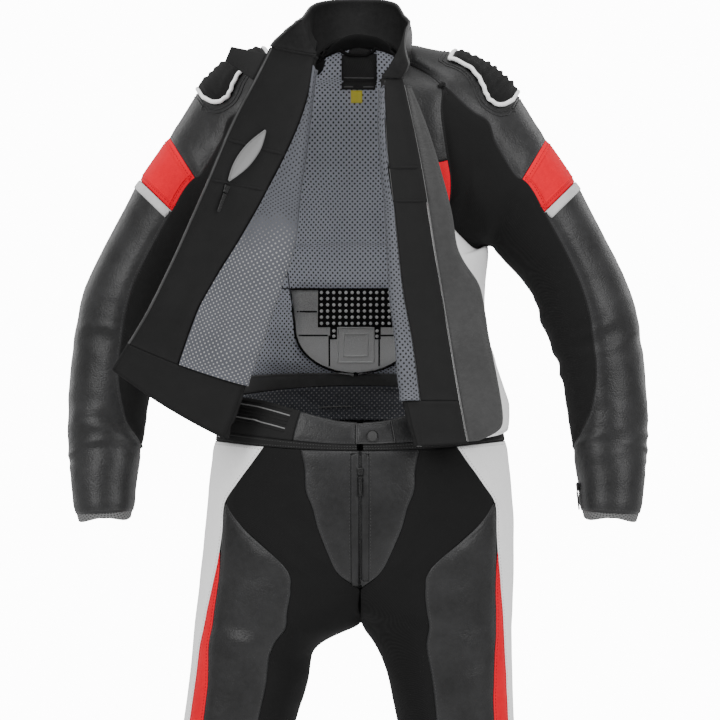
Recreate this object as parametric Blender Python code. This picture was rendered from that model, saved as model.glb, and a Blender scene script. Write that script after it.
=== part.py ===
"""Two-piece leather motorcycle suit in its worn form: an open jacket over zip-fly trousers.

Metres, +Z up, the front faces -Y and the wearer's left is +X. The origin is between the shoulders,
at the base of the neck. Tables are in millimetres, and each table row is one section of the cloth.
"""

import math
from collections import namedtuple

import bmesh
import bpy
from mathutils import Matrix, Vector

MM = 0.001
LEATHER_WALL = 1.8 * MM
STRETCH_WALL = 1.6 * MM
LINING_WALL = 1.0 * MM
SEAM_EDGE = 0.2 * MM  # each cut edge stands back this far from the seam line
LAYER_GAP = 0.4 * MM  # between a panel and what is sewn on its face
LINING_HANG = 3.1 * MM  # the mesh lining hangs this far inside the shell
LEFT, RIGHT = 1, -1

COLOURS = {
    "leather": ((0.035, 0.035, 0.038, 1), 0.5, 0.0),
    "stretch": ((0.014, 0.014, 0.015, 1), 0.85, 0.0),
    "white": ((0.82, 0.82, 0.82, 1), 0.5, 0.0),
    "red": ((0.85, 0.03, 0.03, 1), 0.45, 0.0),
    "mesh": ((0.16, 0.17, 0.2, 1), 0.8, 0.0),
    "facing": ((0.02, 0.02, 0.021, 1), 0.8, 0.0),
    "foam": ((0.12, 0.12, 0.125, 1), 0.9, 0.0),
    "metal": ((0.05, 0.05, 0.055, 1), 0.35, 1.0),
}


def clear_scene():
    for thing in list(bpy.data.objects):
        bpy.data.objects.remove(thing)


clear_scene()
SUIT = bpy.data.collections.new("motorcycle_suit")
bpy.context.scene.collection.children.link(SUIT)
CUTTERS = bpy.data.collections.new("cutters")
bpy.context.scene.collection.children.link(CUTTERS)


def material(kind):
    made = bpy.data.materials.get(kind)
    if made is None:
        colour, roughness, metallic = COLOURS[kind]
        made = bpy.data.materials.new(kind)
        made.use_nodes = True
        shader = made.node_tree.nodes["Principled BSDF"]
        shader.inputs["Base Color"].default_value = colour
        shader.inputs["Roughness"].default_value = roughness
        shader.inputs["Metallic"].default_value = metallic
    return made


def lerp(a, b, share):
    return a + (b - a) * share


def sampled(table, at):
    """A row of the table at a fractional row number, on a smooth curve through its rows."""
    at = min(max(at, 0.0), len(table) - 1.0)
    i = min(int(at), len(table) - 2)
    t = at - i
    before, after = table[max(i - 1, 0)], table[min(i + 2, len(table) - 1)]
    mixed = [
        0.5 * (2 * b + (c - a) * t + (2 * a - 5 * b + 4 * c - d) * t**2 + (3 * b - a - 3 * c + d) * t**3)
        for a, b, c, d in zip(before, table[i], table[i + 1], after)
    ]
    return type(table[0])(*mixed)


def normal_of(surface, a, b, outside):
    """The unit normal of a surface at (a, b), turned to the side that outside points to."""
    step_a, step_b = 0.02, 0.4
    along = surface(a + step_a, b) - surface(a - step_a, b)
    across = surface(a, b + step_b) - surface(a, b - step_b)
    normal = along.cross(across).normalized()
    return normal if normal.dot(outside) > 0 else -normal


def rim_directions(points, faces):
    """For each rim point, the way that moves it in from both of its rim edges by one unit."""
    used = {}
    for face in faces:
        for pair in zip(face, face[1:] + face[:1]):
            used.setdefault(tuple(sorted(pair)), []).append((face, pair))
    ways = {}
    rim = [owners[0] for owners in used.values() if len(owners) == 1]
    for face, (i, j) in rim:
        along = (points[j] - points[i]).normalized()
        middle = sum((points[k] for k in face), Vector()) / len(face)
        inward = middle - points[i]
        inward = (inward - along * inward.dot(along)).normalized()
        for k in (i, j):
            ways.setdefault(k, []).append(inward)
    directions = {k: sum(found, Vector()) / (1 + found[0].dot(found[-1])) for k, found in ways.items()}
    return directions, [pair for _, pair in rim]


def wall(name, patches, kind):
    """A closed wall over one or more grids of (outer, inner) points, joined where their points meet. Its rim
    stands back from the seam line, so that neighbours stay apart."""
    numbers, outer, inner, faces = {}, [], [], []

    def number(pair):
        key = tuple(round(c * 2e4) for c in pair[0])
        if key not in numbers:
            numbers[key] = len(outer)
            outer.append(pair[0])
            inner.append(pair[1])
        return numbers[key]

    for patch in patches:
        grid = [[number(pair) for pair in row] for row in patch]
        for low, high in zip(grid, grid[1:]):
            for c in range(len(low) - 1):
                for corners in ((low[c], low[c + 1], high[c + 1]), (low[c], high[c + 1], high[c])):
                    if len(set(corners)) == 3:
                        faces.append(list(corners))
    directions, rim = rim_directions(outer, faces)
    for k, way in directions.items():
        outer[k] = outer[k] + way * SEAM_EDGE
        inner[k] = inner[k] + way * SEAM_EDGE
    count = len(outer)
    below = [[k + count for k in reversed(face)] for face in faces]
    sides = [[i, i + count, j + count, j] for i, j in rim]
    mesh = bpy.data.meshes.new(name)
    mesh.from_pydata(outer + inner, [], faces + below + sides)
    return placed(name, mesh, kind)


def placed(name, mesh, kind):
    shape = bmesh.new()
    shape.from_mesh(mesh)
    bmesh.ops.recalc_face_normals(shape, faces=shape.faces)
    if shape.calc_volume(signed=True) < 0:
        bmesh.ops.reverse_faces(shape, faces=shape.faces)
    shape.to_mesh(mesh)
    shape.free()
    mesh.shade_smooth()
    mesh.set_sharp_from_angle(angle=math.radians(50))
    mesh.materials.append(material(kind))
    thing = bpy.data.objects.new(name, mesh)
    SUIT.objects.link(thing)
    return thing


def patch(surface, outside, rows, columns, thick, start=0.0):
    """Point pairs on a surface: rows are its a values, columns(a) its b values, start is the outer face's
    distance out of the surface, and outside(a, b) points away from the body."""
    grid = []
    for a in rows:
        row = []
        for b in columns(a):
            point = surface(a, b)
            normal = normal_of(surface, a, b, outside(a, b))
            row.append((point + normal * start, point + normal * (start - thick)))
        grid.append(row)
    return grid


def cloth(name, surface, outside, rows, columns, kind, thick, start=0.0):
    return wall(name, [patch(surface, outside, rows, columns, thick, start)], kind)


def spread(first, last, count):
    return [lerp(first, last, i / count) for i in range(count + 1)]


def side_name(side):
    return "L" if side == LEFT else "R"


# Sleeves and raglan shoulders. A section runs from the crest over front and back, and it is cut where it
# meets the body, until the armpit closes it.

SleeveRow = namedtuple("SleeveRow", "crest_x crest_z under_x under_z middle_y front back cut_front cut_back")
SLEEVE = [
    SleeveRow(60, 20, 66, -62, 5, 56, 60, 73, 50),
    SleeveRow(103, 12, 92, -115, 4, 84, 90, 73, 68),
    SleeveRow(140, 5, 62, -150, 4, 95, 98, 88, 86),
    SleeveRow(170, -10, 58, -200, 3, 97, 104, 96, 95),
    SleeveRow(193, -33, 66, -235, 2, 92, 102, 104, 104),
    SleeveRow(213, -62, 88, -246, 1, 84, 95, 127, 127),
    SleeveRow(230, -90, 134, -244, 0, 78, 84, 154, 154),
    SleeveRow(246, -112, 166, -240, 0, 72, 76, 180, 180),
    SleeveRow(270, -146, 177, -248, 0, 68, 72, 180, 180),
    SleeveRow(290, -182, 190, -259, 0, 65, 68, 180, 180),
    SleeveRow(319, -234, 207, -283, 0, 63, 66, 180, 180),
    SleeveRow(345, -285, 225, -308, -2, 61, 63, 180, 180),
    SleeveRow(359, -330, 238, -338, -6, 60, 60, 180, 180),
    SleeveRow(367, -385, 254, -387, -14, 56, 57, 180, 180),
    SleeveRow(371, -443, 266, -441, -26, 53, 52, 180, 180),
    SleeveRow(371, -500, 277, -497, -41, 48, 47, 180, 180),
    SleeveRow(366, -545, 283, -540, -54, 44, 43, 180, 180),
    SleeveRow(361, -578, 286, -574, -64, 41, 40, 180, 180),
]
Shift = namedtuple("Shift", "at crest_x crest_z under_x")
# How far each worn sleeve stands off the shared cut: the right shoulder is pulled up, the left cuff hangs in.
SLEEVE_SHIFTS = {
    LEFT: [Shift(0, 0, 0, 0), Shift(6, 0, 0, 0), Shift(9, -1, 0, -3), Shift(11, -4, 0, -6), Shift(17, -6, 0, -7)],
    RIGHT: [
        Shift(0, 0, 0, 0), Shift(1.5, 2, 3, 0), Shift(3, 5, 4, 0), Shift(9, 6, 2, 0), Shift(12, 2, 0, 0),
        Shift(17, -1, 0, 0),
    ],
}
ARMPIT_ROW = 7


def sleeve_row(side, v):
    row, shifts = sampled(SLEEVE, v), SLEEVE_SHIFTS[side]
    for first, second in zip(shifts, shifts[1:]):
        if v <= second.at:
            break
    share = min(1.0, (v - first.at) / (second.at - first.at))
    return row._replace(
        crest_x=row.crest_x + lerp(first.crest_x, second.crest_x, share),
        crest_z=row.crest_z + lerp(first.crest_z, second.crest_z, share),
        under_x=row.under_x + lerp(first.under_x, second.under_x, share),
    )


BAND_TOP, BAND_END, STRETCH_END, SLEEVE_END = 6.55, 8.3, 15.0, 17

Fold = namedtuple("Fold", "along around reach width depth")
SLEEVE_FOLDS = [
    Fold(10.2, 165, 1.0, 60, 6), Fold(11.6, 150, 0.8, 55, 5), Fold(12.9, 178, 0.7, 60, 5),
    Fold(14.1, 140, 0.6, 50, 5), Fold(15.0, 60, 0.8, 45, 4), Fold(15.8, -40, 0.7, 50, 3),
    Fold(11.0, -150, 0.9, 60, 5), Fold(13.4, -140, 0.8, 55, 4),
]


def folded(folds, along, around):
    """How far the largest folds press the cloth in at one point of a tube."""
    depth = 0.0
    for fold in folds:
        turn = (around - fold.around + 180) % 360 - 180
        depth += fold.depth * math.exp(-(((along - fold.along) / (fold.reach * 0.5)) ** 2) - (turn / fold.width) ** 2)
    return depth


def sleeve_surface(side):
    def surface(v, phi):
        row = sleeve_row(side, v)
        middle = Vector(((row.crest_x + row.under_x) / 2, 0, (row.crest_z + row.under_z) / 2))
        reach = Vector((row.crest_x, 0, row.crest_z)) - middle
        turn = math.radians(phi)
        depth = row.front if math.sin(turn) > 0 else row.back
        point = middle + reach * math.cos(turn) + Vector((0, row.middle_y - depth * math.sin(turn), 0))
        heart = middle + Vector((0, row.middle_y, 0))
        if v > ARMPIT_ROW:
            fade = min(1.0, (v - ARMPIT_ROW) / 2)
            point -= (point - heart).normalized() * folded(SLEEVE_FOLDS, v, phi) * fade
        return Vector((point.x * side, point.y, point.z)) * MM

    return surface


def sleeve_outside(side):
    def outside(v, phi):
        row = sleeve_row(side, v)
        middle = Vector((
            (row.crest_x + row.under_x) / 2 * side, row.middle_y, (row.crest_z + row.under_z) / 2,
        )) * MM
        return sleeve_surface(side)(v, phi) - middle

    return outside


Seam = namedtuple("Seam", "at front back")
# Between the leather over the crest and the stretch cloth below, in degrees from the crest.
SLEEVE_SEAM = [
    Seam(1.2, 74, 69.5), Seam(1.9, 70, 70), Seam(3.0, 67, 70), Seam(4.0, 60, 72), Seam(5.0, 67, 76),
    Seam(6.0, 76, 82), Seam(7.0, 79, 84), Seam(8.3, 83, 86), Seam(10.0, 85, 88), Seam(12.0, 92, 90),
    Seam(13.3, 100, 96), Seam(14.2, 122, 116), Seam(14.8, 160, 155), Seam(15.0, 174, 170),
]
RAGLAN_ROWS = [0, 0.6, 1.2, 1.9, 2.6, 3.4, 4, 4.5, 5, 6]
TONGUE_START = 1.2


def looked_up(seams, at):
    """The front and back angle of a seam at one place along the tube, in straight steps between rows."""
    for first, second in zip(seams, seams[1:]):
        if at <= second.at:
            share = max(0.0, (at - first.at) / (second.at - first.at))
            return lerp(first.front, second.front, share), lerp(first.back, second.back, share)
    return seams[-1].front, seams[-1].back


def make_sleeve(side):
    surface, outside, tag = sleeve_surface(side), sleeve_outside(side), side_name(side)

    def shoulder_columns(v):
        row = sampled(SLEEVE, v)
        if v < TONGUE_START:
            return spread(row.cut_front, -row.cut_back, 12)
        front, back = looked_up(SLEEVE_SEAM, v)
        return spread(front, -back, 12)

    rows = RAGLAN_ROWS + [BAND_TOP]
    cloth(f"shoulder_{tag}", surface, outside, rows, shoulder_columns, "leather", LEATHER_WALL)
    rows = [BAND_TOP, ARMPIT_ROW, 7.6, BAND_END]
    cloth(f"sleeve_band_{tag}", surface, outside, rows, shoulder_columns, "red", LEATHER_WALL)

    outer_rows = [BAND_END, 9.2, 10, 11, 12, 12.6, 13.3, 14.2, 14.8, STRETCH_END]
    front, back = looked_up(SLEEVE_SEAM, STRETCH_END)
    ring = spread(front, -back, 12) + [front - 360]
    patches = [
        patch(surface, outside, outer_rows, shoulder_columns, LEATHER_WALL),
        patch(surface, outside, [STRETCH_END, 15.6, 16.2, SLEEVE_END], lambda v: ring, LEATHER_WALL),
    ]
    wall(f"sleeve_leather_{tag}", patches, "leather")

    def tongue(forward):
        def columns(v):
            row, (front, back) = sampled(SLEEVE, v), looked_up(SLEEVE_SEAM, v)
            if forward:
                return spread(front, row.cut_front, 4)
            return spread(-row.cut_back, -back, 4)

        return columns

    def under_columns(v):
        front, back = looked_up(SLEEVE_SEAM, v)
        return spread(front, 180, 4) + spread(180, 360 - back, 4)[1:]

    tongue_rows = [v for v in RAGLAN_ROWS if v >= TONGUE_START] + [BAND_TOP, ARMPIT_ROW]
    under_rows = [ARMPIT_ROW, 7.6] + outer_rows
    patches = [
        patch(surface, outside, tongue_rows, tongue(True), STRETCH_WALL),
        patch(surface, outside, tongue_rows, tongue(False), STRETCH_WALL),
        patch(surface, outside, under_rows, under_columns, STRETCH_WALL),
    ]
    wall(f"sleeve_stretch_{tag}", patches, "stretch")
    wall(f"cuff_lining_{tag}", [cuff_patch(surface, outside, ring)], "mesh")


def cuff_patch(surface, outside, ring):
    """The lining's end that shows below the sleeve's hem, inside the leather, with a wavy rim."""
    inset = LEATHER_WALL + LAYER_GAP
    grid = []
    for v in (16.2, 17.0, 17.3):
        row = []
        for phi in ring:
            drop = max(0.0, v - 17.0) * (1 + 0.3 * math.sin(math.radians(3 * phi)))
            base = min(v, 17.0)
            point = surface(base, phi)
            normal = normal_of(surface, base, phi, outside(base, phi))
            down = (surface(base, phi) - surface(base - 0.5, phi)) * 2 * drop
            row.append((point + down - normal * inset, point + down - normal * (inset + LINING_WALL)))
        grid.append(row)
    return grid


# Jacket body. The back and the fronts meet the raglan seams above the armpit and each other below it.

BackRow = namedtuple("BackRow", "middle_y middle_z side_x side_y side_z round")
BACK_LOW = [
    BackRow(124, -240, 166, 0, -240, 1.0),
    BackRow(114, -283, 161, 6, -288, 1.0),
    BackRow(110, -330, 163, 10, -338, 1.0),
    BackRow(114, -380, 173, 14, -388, 1.0),
    BackRow(124, -430, 190, 18, -436, 1.0),
    BackRow(127, -472, 190, 22, -474, 1.0),
]
BACK_HIGH_MIDDLE = [
    BackRow(70, 31, 0, 0, 0, 0.5), BackRow(94, -4, 0, 0, 0, 0.4), BackRow(110, -48, 0, 0, 0, 0.45),
    BackRow(120, -92, 0, 0, 0, 0.5), BackRow(126, -136, 0, 0, 0, 0.6), BackRow(127, -182, 0, 0, 0, 0.8),
    BackRow(126, -216, 0, 0, 0, 0.9), BackRow(124, -240, 0, 0, 0, 1.0),
]
BODY_ROWS = 12  # 0 is the neck seam, 7 the armpit, 12 the hem


def side_point(v, side, forward):
    """Where a body row ends: on the raglan seam above the armpit, and on the side seam below it."""
    if v <= ARMPIT_ROW:
        row = sampled(SLEEVE, v)
        phi = row.cut_front if forward else -row.cut_back
        return sleeve_surface(side)(v, phi) / MM
    low = sampled(BACK_LOW, v - ARMPIT_ROW)
    return Vector((low.side_x * side, low.side_y, low.side_z))


def rounded(start, end, share, roundness, level=0.0):
    """A path from a side point to a middle point: a straight line mixed with a quarter ellipse. level makes
    it reach the middle with no slope."""
    straight = start.lerp(end, share)
    turn = math.radians(90 * share)
    curved = Vector((
        lerp(end.x, start.x, math.cos(turn)),
        lerp(start.y, end.y, math.sin(turn)),
        lerp(start.z, end.z, share),
    ))
    path = straight.lerp(curved, roundness)
    path.z = lerp(start.z, end.z, lerp(share, math.sin(turn), level))
    return path


def back_surface(v, b):
    """b runs from -100 at the wearer's right side, through 0 at the middle, to 100 at the left."""
    v = min(max(v, 0.0), BODY_ROWS)
    table = BACK_HIGH_MIDDLE if v <= ARMPIT_ROW else BACK_LOW
    row = sampled(table, v if v <= ARMPIT_ROW else v - ARMPIT_ROW)
    side = LEFT if b >= 0 else RIGHT
    start = side_point(v, side, forward=False)
    middle = Vector((0, row.middle_y, row.middle_z))
    return rounded(start, middle, 1 - abs(b) / 100, row.round, level=1.0) * MM


FrontRow = namedtuple("FrontRow", "fold_x fold_y fold_z edge_x edge_y edge_z facing")
# From neck to hem. facing is the black facing's share of the turned-out part.
FRONT = {
    LEFT: [
        FrontRow(37, -96, -33, 53, -106, -33, 0.93),
        FrontRow(33, -104, -70, 61, -114, -70, 0.9),
        FrontRow(35, -110, -128, 73, -121, -128, 0.9),
        FrontRow(40, -113, -186, 83, -124, -186, 0.88),
        FrontRow(44, -113, -243, 92, -124, -243, 0.86),
        FrontRow(47, -112, -302, 102, -123, -302, 0.82),
        FrontRow(54, -112, -358, 111, -125, -358, 0.76),
        FrontRow(62, -115, -435, 124, -130, -435, 0.74),
        FrontRow(76, -120, -492, 134, -134, -488, 0.86),
    ],
    RIGHT: [
        FrontRow(65, -92, -4, 113, -140, 4, 0.97),
        FrontRow(70, -100, -51, 133, -150, -38, 0.95),
        FrontRow(78, -106, -115, 161, -160, -93, 0.82),
        FrontRow(86, -110, -179, 189, -166, -161, 0.65),
        FrontRow(93, -110, -239, 219, -170, -230, 0.5),
        FrontRow(116, -106, -307, 250, -172, -297, 0.4),
        FrontRow(134, -102, -358, 269, -172, -333, 0.4),
        FrontRow(152, -98, -415, 288, -170, -364, 0.42),
        FrontRow(177, -90, -481, 306, -168, -394, 0.45),
    ],
}
FOLD_RADIUS = 5.0
ARC = 100.0  # b from 0 to 100 crosses the body part, to 140 turns the fold, to 240 crosses to the zip edge
TURN_END, EDGE = 140.0, 240.0


def front_row(side, v):
    return sampled(FRONT[side], v / BODY_ROWS * (len(FRONT[side]) - 1))


def front_surface(side):
    def surface(v, b):
        v = min(max(v, 0.0), BODY_ROWS)
        row = front_row(side, v)
        start = side_point(v, side, forward=True)
        fold = Vector((row.fold_x * side, row.fold_y + FOLD_RADIUS, row.fold_z))
        edge = Vector((row.edge_x * side, row.edge_y, row.edge_z))
        low = min(1.0, max(0.0, (v - 2) / 5))
        away = Vector((edge.x - fold.x, edge.y - fold.y, 0)).normalized()
        if b <= ARC:
            return rounded(start, fold, b / ARC, lerp(0.35, 0.95, low)) * MM
        turned = fold + Vector((away.y, -away.x, 0)) * (2 * FOLD_RADIUS) * side
        if b <= TURN_END:
            turn = math.radians(180 * (b - ARC) / (TURN_END - ARC))
            middle = fold.lerp(turned, 0.5)
            spoke = fold - middle
            return (middle + spoke * math.cos(turn) - away * FOLD_RADIUS * math.sin(turn)) * MM
        share = (b - TURN_END) / (EDGE - TURN_END)
        sag = math.sin(math.pi * share) * (6.0 if side == RIGHT else 1.5)
        wave = 3.5 * math.sin(v * 1.9 + share * 2.2) * share * (side == RIGHT)
        droop = 6 * math.sin(math.pi * share) * (v / BODY_ROWS) ** 4 * (side == RIGHT)
        return (turned.lerp(edge, share) + Vector((0, sag + wave, -droop))) * MM

    return surface


def front_outside(side):
    """Outwards from the body on the body part. The leather's face looks back past the fold."""
    surface = front_surface(side)

    def outside(v, b):
        row = front_row(side, v)
        if b <= ARC:
            return surface(v, b) - Vector((0, 20 * MM, surface(v, b).z))
        fold = Vector((row.fold_x * side, row.fold_y, 0))
        edge = Vector((row.edge_x * side, row.edge_y, 0))
        away = (edge - fold).normalized()
        back = Vector((-away.y, away.x, 0)) * side
        if b >= TURN_END:
            return back
        turn = math.radians(180 * (b - ARC) / (TURN_END - ARC))
        return away * math.sin(turn) - back * math.cos(turn)

    return outside


BODY_COLUMNS = [0, 14, 30, 47, 65, 83, ARC]
TURN_COLUMNS = [113, 127, TURN_END]
CHEST_END, RED_END, HEM_FACING_TOP = 3.4, 4.5, 10.5
LOW_ROWS = [RED_END, 5, 6, BAND_TOP, ARMPIT_ROW, 8, 9, 10, HEM_FACING_TOP, 11.2, BODY_ROWS]


def facing_edge(side, v):
    return EDGE - front_row(side, v).facing * (EDGE - TURN_END)


def out_columns(side, v):
    """The turned-out part's columns: two over the lining's share and three over the facing's."""
    edge = facing_edge(side, v)
    return spread(TURN_END, edge, 2) + spread(edge, EDGE, 3)[1:]


def make_front(side):
    surface, outside, tag = front_surface(side), front_outside(side), side_name(side)

    def across(v):
        return BODY_COLUMNS + TURN_COLUMNS + out_columns(side, v)[1:]

    chest_rows = [0, 0.6, 1.2, 1.9, 2.6, CHEST_END]
    cloth(f"chest_{tag}", surface, outside, chest_rows, across, "leather", LEATHER_WALL)
    cloth(f"chest_band_{tag}", surface, outside, [CHEST_END, 4, RED_END], across, "red", LEATHER_WALL)
    cloth(f"front_{tag}", surface, outside, LOW_ROWS, across, "white", LEATHER_WALL)

    under = -LEATHER_WALL - LAYER_GAP
    rows = chest_rows + [4] + [v for v in LOW_ROWS if v <= HEM_FACING_TOP]
    cloth(
        f"facing_{tag}", surface, outside, rows, lambda v: out_columns(side, v)[2:], "facing", LINING_WALL, under
    )
    hem_rows = [HEM_FACING_TOP, 11.2, BODY_ROWS]
    cloth(
        f"hem_facing_{tag}", surface, outside, hem_rows, lambda v: out_columns(side, v), "facing", LINING_WALL,
        under,
    )
    lining_rows = [0.6, 1.9, 3.4, 4.5, 5, 6, ARMPIT_ROW, 8, 9, 10, HEM_FACING_TOP]

    def lining_columns(v):
        return BODY_COLUMNS[1:] + TURN_COLUMNS + spread(TURN_END, facing_edge(side, v) - 0.7, 2)[1:]

    cloth(
        f"lining_{tag}", surface, outside, lining_rows, lining_columns, "mesh", LINING_WALL,
        -LEATHER_WALL - LINING_HANG + 0.9 * MM,
    )


def back_outside(v, b):
    return back_surface(v, b) - Vector((0, 0, back_surface(v, b).z))


BACK_COLUMNS = [-100, -83, -66, -49, -33, -17, 0, 17, 33, 49, 66, 83, 100]
LABEL_ROWS = [0.12, 0.6, 1.2, 1.45]
LINING_END, BAND_BACK_END = 10.4, 11.0


def make_back():
    rows = RAGLAN_ROWS + [BAND_TOP, ARMPIT_ROW, 8, 9, 10, 11, BODY_ROWS]
    cloth("back", back_surface, back_outside, rows, lambda v: BACK_COLUMNS, "leather", LEATHER_WALL)
    hang = -LEATHER_WALL - LINING_HANG
    lining_rows = LABEL_ROWS + [2.6, 4, 5, 6, BAND_TOP, ARMPIT_ROW, 8, 9, 10, LINING_END]
    inside = [-86] + BACK_COLUMNS[1:-1] + [86]  # each end stops short of the side seam
    cloth("lining_back", back_surface, back_outside, lining_rows, lambda v: inside, "mesh", LINING_WALL, hang)
    band_rows = [LINING_END, BAND_BACK_END]
    cloth("waist_band_back", back_surface, back_outside, band_rows, lambda v: inside, "facing", 2 * MM, hang)


# Back protector, a foam plate with a round lower end, held in the lining.

PlateRow = namedtuple("PlateRow", "at half_width")
PLATE = [
    PlateRow(8.15, 88), PlateRow(8.6, 86), PlateRow(9.1, 83), PlateRow(9.6, 79), PlateRow(10.0, 66),
    PlateRow(10.2, 50), PlateRow(LINING_END, 16),
]
PROTECTOR_ROWS = [row.at for row in PLATE]
PROTECTOR_WALL = 8 * MM


def make_protector():
    def columns(v):
        half = next(row.half_width for row in PLATE if row.at == v)
        low = sampled(BACK_LOW, v - ARMPIT_ROW)
        reach = 100 * math.asin(half / low.side_x) / math.radians(90)
        return spread(-reach, reach, 10)

    start = -LEATHER_WALL - LINING_HANG - LINING_WALL - 3 * LAYER_GAP
    cloth("back_protector", back_surface, back_outside, PROTECTOR_ROWS, columns, "foam", PROTECTOR_WALL, start)


# Collar, a padded stand band from one front end round the neck to the other.

CollarRow = namedtuple("CollarRow", "top_x top_y top_z")
# One row for each corner of the neck seam: the right front's edge, its middle, both sides of its fold, the
# raglan seam, the crest, the back raglan seam, half way to the middle and the middle, then back to the left.
COLLAR = [
    CollarRow(-82, -126, 36), CollarRow(-80, -112, 40), CollarRow(-76, -98, 44), CollarRow(-74, -86, 46),
    CollarRow(-69, -50, 56), CollarRow(-65, 8, 68), CollarRow(-53, 48, 78), CollarRow(-29, 70, 83),
    CollarRow(0, 78, 84), CollarRow(28, 70, 83), CollarRow(46, 48, 77), CollarRow(56, 8, 60),
    CollarRow(64, -46, 45), CollarRow(60, -88, 30), CollarRow(57, -108, 8), CollarRow(62, -122, -14),
]
COLLAR_WALL = 3.0 * MM


def neck_seam(v):
    """The neck seam's line at a collar row number, along the top edges of the fronts, shoulders and back."""
    row = SLEEVE[0]
    marks = [
        (front_surface(RIGHT), [EDGE, 190, TURN_END, ARC, 0]),
        (sleeve_surface(RIGHT), [row.cut_front, 0, -row.cut_back]),
        (back_surface, [-100, -50, 0, 50, 100]),
        (sleeve_surface(LEFT), [-row.cut_back, 0, row.cut_front]),
        (front_surface(LEFT), [0, ARC, TURN_END, EDGE]),
    ]
    for surface, stops in marks:
        if v <= len(stops) - 1:
            i = min(int(v), len(stops) - 2)
            return surface(0, lerp(stops[i], stops[i + 1], v - i))
        v -= len(stops) - 1
    return marks[-1][0](0, EDGE)


def collar_surface(v, b):
    row = sampled(COLLAR, v)
    base = neck_seam(v)
    top = Vector((row.top_x, row.top_y, row.top_z)) * MM
    seam = (neck_seam(min(v + 0.02, 15)) - neck_seam(max(v - 0.02, 0))).normalized()
    rise = top - base
    lift = lerp(*COLLAR_SEAM, min(1.0, max(0.0, abs(v - 8) - 2) / 0.7))
    base = base + (rise - seam * rise.dot(seam)).normalized() * lift
    out = Vector((base.x, base.y, 0)).normalized()
    return base.lerp(top, b / 100) + out * 4 * MM * math.sin(math.pi * b / 100)


COLLAR_SEAM = (1.2 * MM, 3.4 * MM)  # behind the neck, and round its sides, where the wall turns


def make_collar():
    def outside(v, b):
        ahead = collar_surface(v + 0.02, 50) - collar_surface(v - 0.02, 50)
        return Vector((0, 0, -1)).cross(ahead) * -1

    rows = [0, 1, 2, 3, 3.5, 4, 4.25, 4.5, 4.75, 5, 5.5, 6, 7, 8, 9, 10, 10.5, 11, 11.25, 11.5, 11.75, 12, 12.5, 13, 14, 15]
    cloth("collar", collar_surface, outside, rows, lambda v: [0, 33, 67, 100], "leather", COLLAR_WALL)


# Storm flap behind the left zip edge: narrow at the neck, wide and round at the hem.

FlapRow = namedtuple("FlapRow", "at width drop")
FLAP = [
    FlapRow(0.4, 9, 0), FlapRow(2, 18, 0), FlapRow(3.5, 25, 0), FlapRow(5, 30, 0), FlapRow(6, 30, 0),
    FlapRow(6.7, 40, 0), FlapRow(7.3, 50, 0), FlapRow(8.5, 51, 0), FlapRow(10, 53, 0), FlapRow(11, 51, 0),
    FlapRow(11.5, 40, 0), FlapRow(11.9, 14, 0),
]


def make_storm_flap():
    front = front_surface(LEFT)

    def surface(a, b):
        row = sampled(FLAP, a)
        edge = front(row.at, EDGE)
        before = front(row.at, EDGE - 20)
        away = (edge - before).normalized()
        reach = (0.6 + row.width * b / 100) * MM
        bend = Vector((0, 1, 0)) * (b / 100) ** 2 * row.width * 0.10 * MM
        return edge + away * reach + bend

    rows = list(range(len(FLAP)))
    cloth(
        "storm_flap", surface, lambda a, b: Vector((0, -1, 0)), rows, lambda a: [0, 35, 70, 100],
        "leather", LEATHER_WALL,
    )


# Trousers: each half is cut from the centre front round the hip to the centre back, and each leg is closed
# by its inseam below the crotch.

LegRow = namedtuple("LegRow", "z outer_R inner_R outer_L inner_L front back middle_y")
LEGS = [
    LegRow(-492, 186, -186, 186, -186, 104, 110, 4),
    LegRow(-520, 190, -184, 190, -184, 107, 116, 5),
    LegRow(-545, 193, -176, 193, -176, 109, 121, 6),
    LegRow(-567, 195, -160, 195, -160, 110, 124, 7),
    LegRow(-595, 198, -138, 197, -138, 110, 126, 8),
    LegRow(-630, 201, -101, 197, -101, 109, 126, 9),
    LegRow(-655, 204, -76, 197, -76, 106, 124, 10),
    LegRow(-680, 207, -50, 196, -50, 103, 120, 10),
    LegRow(-705, 210, -22, 195, -22, 98, 112, 9),
    LegRow(-724, 212, 1.5, 194, 1.5, 94, 105, 8),
    LegRow(-748, 214, 50, 194, 18, 90, 98, 6),
    LegRow(-790, 218, 62, 195, 33, 85, 92, 4),
    LegRow(-843, 225, 81, 197, 47, 80, 86, 2),
    LegRow(-900, 231, 92, 200, 57, 76, 78, 0),
    LegRow(-970, 237, 101, 203, 63, 72, 68, -3),
    LegRow(-1040, 242, 105, 204, 65, 71, 62, -5),
    LegRow(-1110, 244, 111, 204, 69, 66, 62, -2),
    LegRow(-1190, 249, 117, 203, 70, 60, 72, 4),
    LegRow(-1280, 248, 126, 199, 77, 55, 66, 6),
    LegRow(-1370, 244, 137, 193, 86, 50, 54, 5),
    LegRow(-1444, 240, 146, 187, 92, 47, 50, 2),
]
CROTCH_ROW, LEG_END = 9, 20
CENTRE_GAP = 0.3
LEG_FOLDS = [
    Fold(9.3, 120, 1.2, 30, 6), Fold(10.3, 140, 0.9, 35, 5), Fold(11.2, 165, 0.9, 40, 4),
    Fold(14.6, 180, 0.7, 55, 6), Fold(15.4, 175, 0.7, 60, 6), Fold(16.2, -160, 0.8, 50, 4),
    Fold(13.4, 150, 0.8, 40, 4), Fold(18.2, 150, 0.7, 60, 3), Fold(19.1, 120, 0.6, 60, 3),
]


def waist_lift(phi):
    """The waist seam dips at the centre front and rises towards the back."""
    turn = math.radians(phi)
    return -6 * math.sin(turn) ** 2 + 5 * math.cos(turn) ** 2 if phi > 0 else 5 + 12 * math.sin(turn) ** 2


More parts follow.
